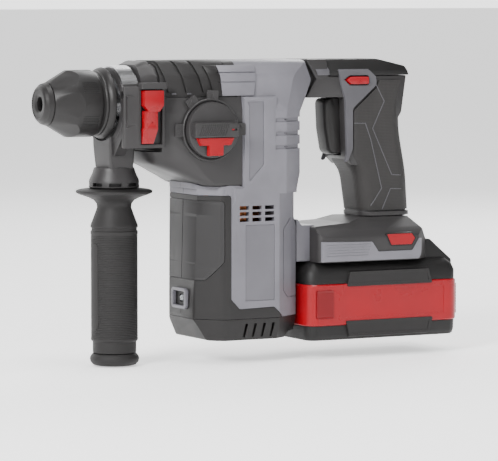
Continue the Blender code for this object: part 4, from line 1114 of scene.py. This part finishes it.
def make_mode_knob():
    centre = (KNOB_X, 0.0, KNOB_Z)
    ring = turned(
        "mode_ring_plate",
        [
            (-40.0, 22.0), (-39.6, 22.4), (-37.55, 22.4), (-37.55, 9.5), (-38.3, 9.5), (-38.3, 20.9),
            (-39.8, 20.9), (-40.0, 21.2),
        ],
        "Y", centre, 128,
    )
    for degrees in (0.0, 86.0, 126.0, 180.0):
        half = 4.4
        tab = prism(
            "tab",
            [
                (20.8 + BIT_SEAT, -half, 0.4), (28.2 + BIT_SEAT, -half, 1.0), (28.2 + BIT_SEAT, half, 1.0),
                (20.8 + BIT_SEAT, half, 0.4),
            ],
            "Y", -39.2, -37.55,
        )
        mark = box("mark", (BIT_SEAT + 23.0, -39.6, -0.5), (BIT_SEAT + 26.4, -38.8, 0.5))
        dot = box("dot", (BIT_SEAT + 24.2, -39.6, 1.6), (BIT_SEAT + 25.4, -38.8, 2.8))
        fuse(tab, mark, dot)
        turn = Matrix.Rotation(math.radians(-degrees), 4, "Y")
        tab.data.transform(Matrix.Translation(at(*centre)) @ turn)
        fuse(ring, tab)
    done(ring, "body", "case", "mode_ring")

    knob = turned(
        "knob_dial",
        [
            (-44.2, 0.0), (-44.2, 19.0), (-43.8, 19.7), (-42.8, 20.0), (-38.75, 20.2), (-38.75, 5.8),
            (-22.0, 5.8), (-22.0, 0.0),
        ],
        "Y", centre, 128, closed=False,
    )
    bar = plate(
        "bar",
        rect(KNOB_X - 18.2, KNOB_Z + 6.0, KNOB_X + 18.2, KNOB_Z - 5.6, 2.0),
        "Y", -43.0, -50.0, 0.7,
    )
    soften(bar, 0.6)
    for k in range(13):
        x = KNOB_X - 15.0 + 1.7 * k
        low, high = KNOB_Z - 4.0, KNOB_Z + 4.4
        lean = [(x, low, 0.0), (x + 0.7, low, 0.0), (x + 4.3, high, 0.0), (x + 3.6, high, 0.0)]
        cut(bar, prism("hatch", lean, "Y", -52.0, -49.6))
    cut(
        bar,
        prism(
            "pointer_window",
            ribbon([(KNOB_X + 11.5, KNOB_Z + 0.4), (KNOB_X + 15.6, KNOB_Z + 0.4)], 1.5),
            "Y", -52.0, -48.8,
        ),
    )
    fuse(knob, bar)
    cut(knob, box("lock_room", (KNOB_X - 15.4, -48.6, KNOB_Z - 30.0), (KNOB_X + 15.4, -44.6, KNOB_Z - 2.0)))
    done(knob, "mode_knob", "case", "mode_knob")
    pointer = plate(
        "pointer_dot",
        rect(KNOB_X + 11.8, KNOB_Z + 0.9, KNOB_X + 13.6, KNOB_Z - 0.1, 0.2),
        "Y", -48.9, -49.7, 0.1,
    )
    done(pointer, "mode_knob", "red")

    x, z = KNOB_X, KNOB_Z
    lock = plate(
        "knob_lock",
        [
            (x - 15.0, z - 5.0, 0.4), (x + 15.0, z - 5.0, 0.4), (x + 12.0, z - 11.0, 0.8),
            (x + 6.0, z - 11.0, 0.3), (x + 6.0, z - 18.4, 0.8), (x - 6.0, z - 18.4, 0.8),
            (x - 6.0, z - 11.0, 0.3), (x - 12.0, z - 11.0, 0.8),
        ],
        "Y", -44.9, -48.3, 0.5,
    )
    done(lock, "knob_lock_button", "red", "knob_lock_button")


# ---------------------------------------------------------------- rear handle

GRIP_FRONT = [
    (-90.0, 255.4), (-80.0, 254.6), (-56.0, 251.0), (-49.0, 247.4), (-43.0, 241.0), (4.0, 238.6),
    (20.0, 238.0),
]
GRIP_REAR = [(-90.0, 295.8), (-54.0, 293.4), (-25.0, 287.8), (-3.0, 286.8), (12.0, 290.0), (20.0, 293.0)]


def grip_solid(name, low, high, half, more=0.0, corner=10.0):
    """The grip as rounded sections from low to high."""
    rings = []
    steps = 40
    for k in range(steps + 1):
        z = low + (high - low) * k / steps
        front = track(GRIP_FRONT, z, 4.0) - more * 0.3
        rear = track(GRIP_REAR, z, 6.0) + more
        corners = rect(front, -half, rear, half, corner)
        rings.append([at(x, y, z) for x, y in rounded(corners, 10)])
    return loft(name, rings)


HOOD = [
    (215.5, 15.5, 1.0), (206.5, 1.8, 1.0), (238.5, 1.8, 2.0), (240.4, -42.0, 3.0), (247.0, -48.5, 3.0),
    (262.0, -48.5, 1.0), (288.0, -10.0, 6.0), (292.0, 17.4, 0.0), (226.0, 17.4, 0.0), (224.0, TOP, 1.0),
    (206.5, TOP, 1.0),
]
LEVER = [(239.6, 14.6, 0.0), (243.2, 11.4, 0.0), (258.2, 11.4, 1.0), (258.2, 16.8, 1.0), (243.2, 16.8, 0.0)]
BEZEL = [
    (233.0, 22.4, 1.0), (259.0, 22.4, 1.5), (265.6, 17.0, 1.5), (266.0, 10.4, 2.0), (246.0, -6.5, 3.0),
    (246.0, -36.0, 3.0), (241.6, -46.0, 2.5), (238.2, -46.0, 1.0), (240.2, -40.0, 1.0), (238.8, 0.0, 3.0),
    (236.0, 9.0, 3.0),
]
RUBBER = [
    (246.8, -8.0, 2.0), (266.0, 8.6, 2.0), (268.0, 14.0, 1.0), (300.0, 14.0, 0.0), (300.0, -82.0, 0.0),
    (240.0, -82.0, 0.0), (240.0, -47.5, 0.0), (246.8, -38.0, 2.0),
]
CONTOURS = (
    [(265.2, 10.4), (272.0, -1.5), (262.2, -21.5), (278.6, -56.0), (286.4, -56.6)],
    [(246.8, -17.4), (256.0, -17.6), (260.6, -29.5), (270.0, -66.0), (261.0, -78.6)],
    [(270.4, -81.6), (277.6, -66.4), (286.8, -66.8)],
)


def make_handle():
    body = prism("handle", HOOD, "Y", -HANDLE_HALF, HANDLE_HALF)
    soften(body, 1.6, 2, 50)
    fuse(body, grip_solid("core", -86.8, 3.0, HANDLE_HALF - 0.2, 0.0, 9.0))
    lever_way = prism("lever_way", inset(LEVER, -GAP), "Y", -40.0, 40.0)
    cut(
        body,
        box("trigger_mouth", (230.0, -9.6, -41.5), (253.0, 9.6, 1.4)),
        box("switch_room", (252.0, -10.0, -41.0), (279.0, 10.0, 7.0)),
        lever_way,
    )
    for side, half in halves(body, "handle_shell"):
        done(half, "body", "case", f"handle_{side}")

    cover = grip_solid("rubber_grip", -82.0, 14.0, GRIP_HALF, 1.4, 11.0)
    keep(cover, side_zone("rubber_zone", RUBBER))
    cut(cover, grip_solid("rubber_inside", -95.0, 22.0, HANDLE_HALF + GAP, 0.2, 9.0))
    soften(cover, 0.4, 2, 45)
    done(cover, "body", "grip", "grip_overmould")
    for k, points in enumerate(CONTOURS):
        for side, near, far in (("left", -30.0, -4.0), ("right", 4.0, 30.0)):
            line = prism(f"grip_line_{k}_{side}", ribbon(points, 0.55), "Y", near, far)
            keep(line, grip_solid("line_skin", -84.0, 14.0, GRIP_HALF + 0.22, 1.62, 11.0))
            cut(line, grip_solid("line_back", -90.0, 20.0, GRIP_HALF - 0.5, 0.9, 10.5))
            done(line, "body", "bezel", slot="soft_rubber")
    collar = grip_solid("grip_collar", -86.2, -83.2, GRIP_HALF + 0.9, 1.9, 11.5)
    cut(collar, grip_solid("collar_inside", -90.0, -80.0, HANDLE_HALF + GAP, 0.2, 9.0))
    soften(collar, 0.8, 3, 40)
    done(collar, "body", "case")

    for side in SIDES:
        bezel = plate("bezel", BEZEL, "Y", -HANDLE_HALF - 0.1, -HANDLE_HALF - 1.6, 0.5)
        cut(bezel, prism("trim_slot", inset(LEVER, -1.1), "Y", -40.0, 40.0))
        bezel = on_side(bezel, f"trim_{side}", side == "right")
        done(bezel, "body", "bezel", f"slider_bezel_{side}")

    cap_side = [
        (224.6, TOP, 2.0), (268.0, TOP, 14.0), (291.0, 24.4, 2.5), (293.6, 17.4 + GAP, 0.6),
        (226.4, 17.4 + GAP, 0.6),
    ]
    cap = prism("rear_cap", cap_side, "Y", -HANDLE_HALF - 0.6, HANDLE_HALF + 0.6)
    keep(
        cap,
        prism(
            "cap_section",
            [
                (-17.6, 10.0, 0.0), (17.6, 10.0, 0.0), (17.6, 21.0, 3.0), (12.0, TOP, 3.0), (-12.0, TOP, 3.0),
                (-17.6, 21.0, 3.0),
            ],
            "X", 200.0, 300.0,
        ),
    )
    soften(cap, 0.8, 3)
    cut(cap, box("cap_hollow", (232.0, -12.0, 10.0), (282.0, 12.0, 24.0)))
    done(cap, "body", "black", "rear_top_cap")

    seal_side = [
        (202.6, TOP - 0.8, 0.4), (206.0, TOP - 0.8, 0.4), (215.0, 15.3, 0.6), (206.0, 1.9, 0.4),
        (203.8, 1.9, 0.4), (212.0, 15.0, 0.6),
    ]
    seal = prism("seal_strip", seal_side, "Y", -14.8, 14.8)
    soften(seal, 0.4, 2)
    done(seal, "body", "black", "handle_seal", slot="soft_rubber")

    trim_side = [(212.4, 28.4, 0.5), (223.4, 28.4, 0.5), (227.4, 18.2, 0.5), (216.6, 18.2, 0.5)]
    strip = prism("hood_strip", trim_side, "Y", -HANDLE_HALF - 0.5, HANDLE_HALF + 0.5)
    keep(
        strip,
        prism(
            "strip_section",
            [
                (-17.5, 10.0, 0.0), (17.5, 10.0, 0.0), (17.5, 22.0, 3.0), (13.0, 28.4, 2.0),
                (-13.0, 28.4, 2.0), (-17.5, 22.0, 3.0),
            ],
            "X", 200.0, 300.0,
        ),
    )
    soften(strip, 0.4, 2)
    done(strip, "body", "bezel")


def make_controls():
    side = [
        (226.8, 0.6, 4.0), (246.0, 0.6, 0.0), (246.0, -24.0, 0.0), (241.0, -40.6, 3.0), (231.5, -40.6, 5.0),
        (228.0, -22.0, 30.0),
    ]
    rings = []
    outline = rounded(side)
    for y, gap in (
        (-9.0, 3.4), (-8.4, 1.7), (-7.0, 0.6), (-5.0, 0.0), (5.0, 0.0), (7.0, 0.6), (8.4, 1.7), (9.0, 3.4)
    ):
        ring = []
        for u, v in outline:
            front = min(max((246.0 - u) / 19.2, 0.0), 1.0)
            low = min(max((v + 40.6) / 8.0, 0.0), 1.0)
            ring.append(at(u + gap * front, y, v + gap * (1.0 - low) * 0.6))
        rings.append(ring)
    trigger = loft("trigger_lever", rings)
    done(trigger, "trigger", "dark", "trigger", angle=50)

    slider = prism("direction_lever", LEVER, "Y", -20.4, 20.4)
    soften(slider, 0.5, 2)
    for sign in (-1, 1):
        y0, y1 = sorted((sign * 20.0, sign * 24.0))
        arrow = prism("arrow", ribbon([(249.4, 15.4), (251.4, 14.1), (249.4, 12.8)], 0.5), "Y", y0, y1)
        cut(slider, arrow)
    done(slider, "direction_slider", "red", "direction_slider")


# ---------------------------------------------------------------- foot


def make_foot():
    side = [
        (208.0, -92.0, 2.0), (238.0, -90.4, 4.0), (250.0, -86.6 - GAP, 0.0), (291.0, -86.6 - GAP, 1.0),
        (304.0, -105.0, 2.0), (304.0, FOOT_BOTTOM, 0.0), (208.0, FOOT_BOTTOM, 0.0),
    ]
    foot = prism("foot_shell", side, "Y", -50.0, 50.0)
    plan = symmetric([(207.6, FOOT_HALF, 7.0), (291.0, FOOT_HALF, 4.0), (304.0, 26.0, 3.0)])
    keep(foot, prism("foot_plan", plan, "Z", -130.0, -60.0))
    shoulder = [
        (-FOOT_HALF, -130.0, 0.0), (FOOT_HALF, -130.0, 0.0), (FOOT_HALF, -100.0, 4.0), (30.0, -94.0, 5.0),
        (19.0, -86.0, 4.0), (-19.0, -86.0, 4.0), (-30.0, -94.0, 5.0), (-FOOT_HALF, -100.0, 4.0),
    ]
    keep(foot, prism("foot_shoulder", shoulder, "X", 190.0, 310.0))
    soften(foot, 0.8, 3)
    cut(
        foot,
        box("foot_slot", (213.0, -22.5, -130.0), (320.0, 22.5, -111.4)),
        box("flange_slot", (213.0, -26.5, -115.6), (320.0, 26.5, -111.4)),
        prism(
            "foot_hollow",
            [
                (222.0, -108.0, 0.0), (298.0, -108.0, 0.0), (296.0, -101.0, 0.0), (289.0, -91.6, 0.0),
                (222.0, -94.6, 0.0),
            ],
            "Y", -19.0, 19.0,
        ),
        box("board_way", (224.0, -12.0, -114.0), (260.0, 12.0, -104.0)),
    )
    done(foot, "body", "case", "battery_foot")

    neck = prism(
        "foot_neck",
        [
            (196.9, -84.4, 1.0), (201.5, -91.2, 2.0), (212.0, -91.2, 0.0), (212.0, FOOT_BOTTOM + 0.2, 0.0),
            (196.9, FOOT_BOTTOM + 0.2, 0.0),
        ],
        "Y", -20.6, 20.6,
    )
    soften(neck, 0.8, 3)
    done(neck, "body", "light")

    trim = [
        (208.8, -102.6, 0.6), (251.4, -103.6, 1.5), (256.6, -111.0, 1.5), (285.4, -111.0, 1.5),
        (291.4, -102.4, 1.0), (297.4, -102.8, 1.0), (298.2, -106.4, 1.0), (291.0, -117.6, 1.5),
        (208.8, -117.6, 0.6),
    ]
    badge = [
        (263.4, -98.4, 0.8), (285.0, -98.4, 0.8), (288.0, -102.2, 0.8), (285.0, -107.0, 0.8),
        (267.4, -107.0, 0.8),
    ]
    for side in SIDES:
        piece = plate("trim", trim, "Y", -FOOT_HALF + 0.6, -FOOT_HALF - 1.1, 0.4)
        keep(
            piece,
            prism(
                "trim_bend",
                [
                    (200.0, -39.0, 0.0), (291.0, -39.0, 0.0), (310.0, -22.6, 0.0), (310.0, -15.0, 0.0),
                    (200.0, -15.0, 0.0),
                ],
                "Z", -130.0, -90.0,
            ),
        )
        for k in range(5):
            cut(
                piece,
                box(
                    "fine_line", (212.0, -40.0, -105.4 - 2.0 * k), (250.0 - 0.6 * k, -37.7, -105.0 - 2.0 * k)
                ),
            )
        tag = plate("tag", badge, "Y", -FOOT_HALF + 1.0, -FOOT_HALF - 0.7, 0.4)
        frame_piece = plate("tag_frame", inset(badge, -0.8), "Y", -FOOT_HALF + 1.0, -FOOT_HALF - 0.35, 0.3)
        for obj, name, look in (
            (piece, "foot_trim", "light"),
            (tag, "blank_badge", "red"),
            (frame_piece, "badge_frame", "black"),
        ):
            cad = [f"foot_trim_{side}"] if name == "foot_trim" else []
            done(on_side(obj, f"{name}_piece_{side}", side == "right"), "body", look, *cad)


# ---------------------------------------------------------------- battery


def pack_plan(gap=0.0):
    return inset(rect(PACK[0], -PACK_HALF, PACK[1], PACK_HALF, 10.0), gap)


def pack_rings(name, levels):
    return loft(name, [[at(x, y, z) for x, y in rounded(pack_plan(gap), 10)] for z, gap in levels])


def make_battery():
    lower = pack_rings(
        "pack_base", [(PACK_BOTTOM, 3.6), (PACK_BOTTOM + 0.8, 2.4), (-171.0, 1.4), (BAND[0] - GAP, 1.1)]
    )
    cut(lower, prism("base_hollow", pack_plan(1.2 + WALL), "Z", PACK_BOTTOM + WALL, -100.0))
    done(lower, "battery", "black", "battery_lower_case", angle=50)

    low, high = BAND
    band = pack_rings("pack_band", [(low, 0.8), (low + 0.8, 0.0), (high - 0.8, 0.0), (high, 0.8)])
    cut(band, prism("band_hollow", pack_plan(WALL), "Z", -200.0, -100.0))
    label = rect(228.0, -138.4, 313.0, -158.6, 1.0)
    on_both_sides(
        lambda name: prism(name, label, "Y", -45.0, -PACK_HALF + 0.3), band, "label_recess", "DIFFERENCE"
    )
    done(band, "battery", "red", "battery_band")
    for side in SIDES:
        zone = rect(204.0, -137.6, 219.5, -159.4, 2.0)
        pad = plate("finger_pad", zone, "Y", -PACK_HALF + 1.6, -PACK_HALF - 0.9, 0.8)
        ribbed(pad, "Z", -158.6, -138.4, 2.2, 0.35)
        pad = on_side(pad, f"finger_pad_{side}", side == "right")
        done(pad, "battery", "deep_red", angle=50)
        zone = rect(-30.0, -137.0, -19.0, -161.4, 2.0)
        bulge = plate("bulge", zone, "X", PACK[1] - 2.0, PACK[1] + 1.2, 0.8)
        ribbed(bulge, "Z", -160.4, -138.0, 2.2, 0.35)
        bulge = on_side(bulge, f"rear_pad_{side}", side == "right")
        done(bulge, "battery", "deep_red", angle=50)

    top = -118.4
    upper = pack_rings(
        "pack_top", [(high + GAP, 1.1), (-127.0, 1.2), (-122.4, 3.4), (-120.0, 6.6), (top, 8.6)]
    )
    block = prism(
        "latch_block",
        [
            (296.0, top - 2.0, 0.0), (303.6, -104.2, 2.0), (307.0, -104.2, 2.0), (PACK[1] - 1.6, -120.0, 3.0),
            (PACK[1] - 1.6, -126.0, 0.0), (296.0, -126.0, 0.0),
        ],
        "Y", -27.0, 27.0,
    )
    soften(block, 1.2, 3)
    fuse(
        upper,
        block,
        box("rail_web", (227.5, -22.0, top - 1.0), (291.0, 22.0, -112.0)),
        box("rail_flange", (227.5, -26.0, -115.0), (291.0, 26.0, -112.0)),
    )
    cut(
        upper,
        prism("upper_hollow", pack_plan(1.2 + WALL), "Z", -160.0, -125.0),
        prism(
            "latch_pocket",
            [(308.0, -98.0, 0.0), (324.4, -98.0, 0.0), (324.4, -122.0, 0.0), (308.0, -115.0, 0.0)],
            "Y", -13.0, 13.0,
        ),
    )
    for y in (-12.0, -4.0, 4.0, 12.0):
        cut(upper, box("contact_slot", (220.0, y - 1.4, -117.2), (240.0, y + 1.4, -110.0)))
    done(upper, "battery", "black", "battery_upper_case", angle=40)

    pads = (
        ("top_pad", [(232.0, -124.6, 1.0), (300.0, -124.6, 1.0), (303.4, -136.6, 1.5), (229.6, -136.6, 1.5)]),
        (
            "base_pad",
            [(228.4, -160.6, 1.5), (304.0, -160.6, 1.5), (300.4, -173.4, 1.0), (231.6, -173.4, 1.0)],
        ),
    )
    for name, corners in pads:
        for side in SIDES:
            pad = plate("pad", corners, "Y", -PACK_HALF + 2.4, -PACK_HALF - 0.9, 0.7)
            slot = plate("pad_line", inset(corners, 2.6), "Y", -PACK_HALF - 2.0, -PACK_HALF - 0.6, 0.0)
            cut(pad, slot)
            pad = on_side(pad, f"{name}_{side}", side == "right")
            done(pad, "battery", "dark")

    latch = prism(
        "latch_button",
        [(308.4, -104.9, 0.8), (324.0, -115.9, 0.8), (324.0, -118.4, 0.3), (308.4, -111.4, 0.3)],
        "Y", -12.6, 12.6,
    )
    soften(latch, 0.6, 3)
    done(latch, "battery_latch", "red", "battery_latch")


# ---------------------------------------------------------------- everything else


def dress_cad():
    """Gives every CAD node that still shows its slot's finish."""
    for entry in frame["record"]["subparts"]:
        obj = frame["nodes"][entry["node"]]
        look = LOOKS[SLOT_LOOK[entry["material_slot"]]]
        for slot in obj.material_slots:
            slot.material = look
        obj.data.shade_smooth()


def make_camera():
    data = bpy.data.cameras.new("camera")
    data.lens = 238.55
    data.sensor_width = 36.0
    camera = adopt(data, "camera")
    camera.location = (-1.01221, -2.12690, 0.08040)
    camera.rotation_euler = (math.radians(90 - 4.168), 0.0, math.radians(-28))
    bpy.context.scene.camera = camera


WHITE = (1.0, 1.0, 1.0, 1.0)


def make_studio():
    world = bpy.data.worlds.new("studio")
    world.use_nodes = True
    tree = world.node_tree
    toward = node(tree, "ShaderNodeSeparateXYZ")
    tree.links.new(node(tree, "ShaderNodeTexCoord").outputs["Generated"], toward.inputs["Vector"])
    behind = node(tree, "ShaderNodeMapRange", interpolation_type="SMOOTHSTEP")
    tree.links.new(toward.outputs["Y"], behind.inputs["Value"])
    put(behind, From_Min=0.35, From_Max=0.8, To_Min=0.20, To_Max=2.6)
    sky = put(tree.nodes["Background"], Color=WHITE)
    tree.links.new(behind.outputs["Result"], sky.inputs["Strength"])
    bpy.context.scene.world = world

    floor_z = (PACK_BOTTOM - 13.5) * MM
    bm = bmesh.new()
    bmesh.ops.create_grid(bm, x_segments=1, y_segments=1, size=40.0)
    bm.transform(Matrix.Translation((0.0, 0.0, floor_z)))
    floor = from_bmesh(bm, "floor")
    paper = bpy.data.materials.new("studio_floor")
    paper.use_nodes = True
    matt = put(paper.node_tree.nodes["Principled BSDF"], Base_Color=(0.92, 0.92, 0.92, 1.0), Roughness=0.9)
    put(matt, Emission_Color=WHITE, Emission_Strength=0.8)
    floor.data.materials.append(paper)

    middle = at(165.0, 0.0, -70.0)
    for name, place_m, size, power in (
        ("key_light", (-1.5, -1.0, 1.0), 0.7, 62.0),
        ("fill_light", (0.7, -1.8, 0.9), 1.4, 11.0),
        ("top_light", (0.1, -0.2, 1.6), 0.8, 22.0),
        ("rim_light", (1.2, 1.0, 0.8), 0.8, 14.0),
    ):
        data = bpy.data.lights.new(name, "AREA")
        data.energy = power
        data.size = size
        lamp = adopt(data, name)
        lamp.location = place_m
        lamp.rotation_euler = (middle - Vector(place_m)).to_track_quat("-Z", "Y").to_euler()


dress_cad()
make_camera()
make_studio()
make_chuck()
make_side_handle()
make_gear_case()
make_motor_housing()
make_side_blocks()
make_work_light()
make_end_cap()
make_mode_knob()
make_handle()
make_controls()
make_foot()
make_battery()
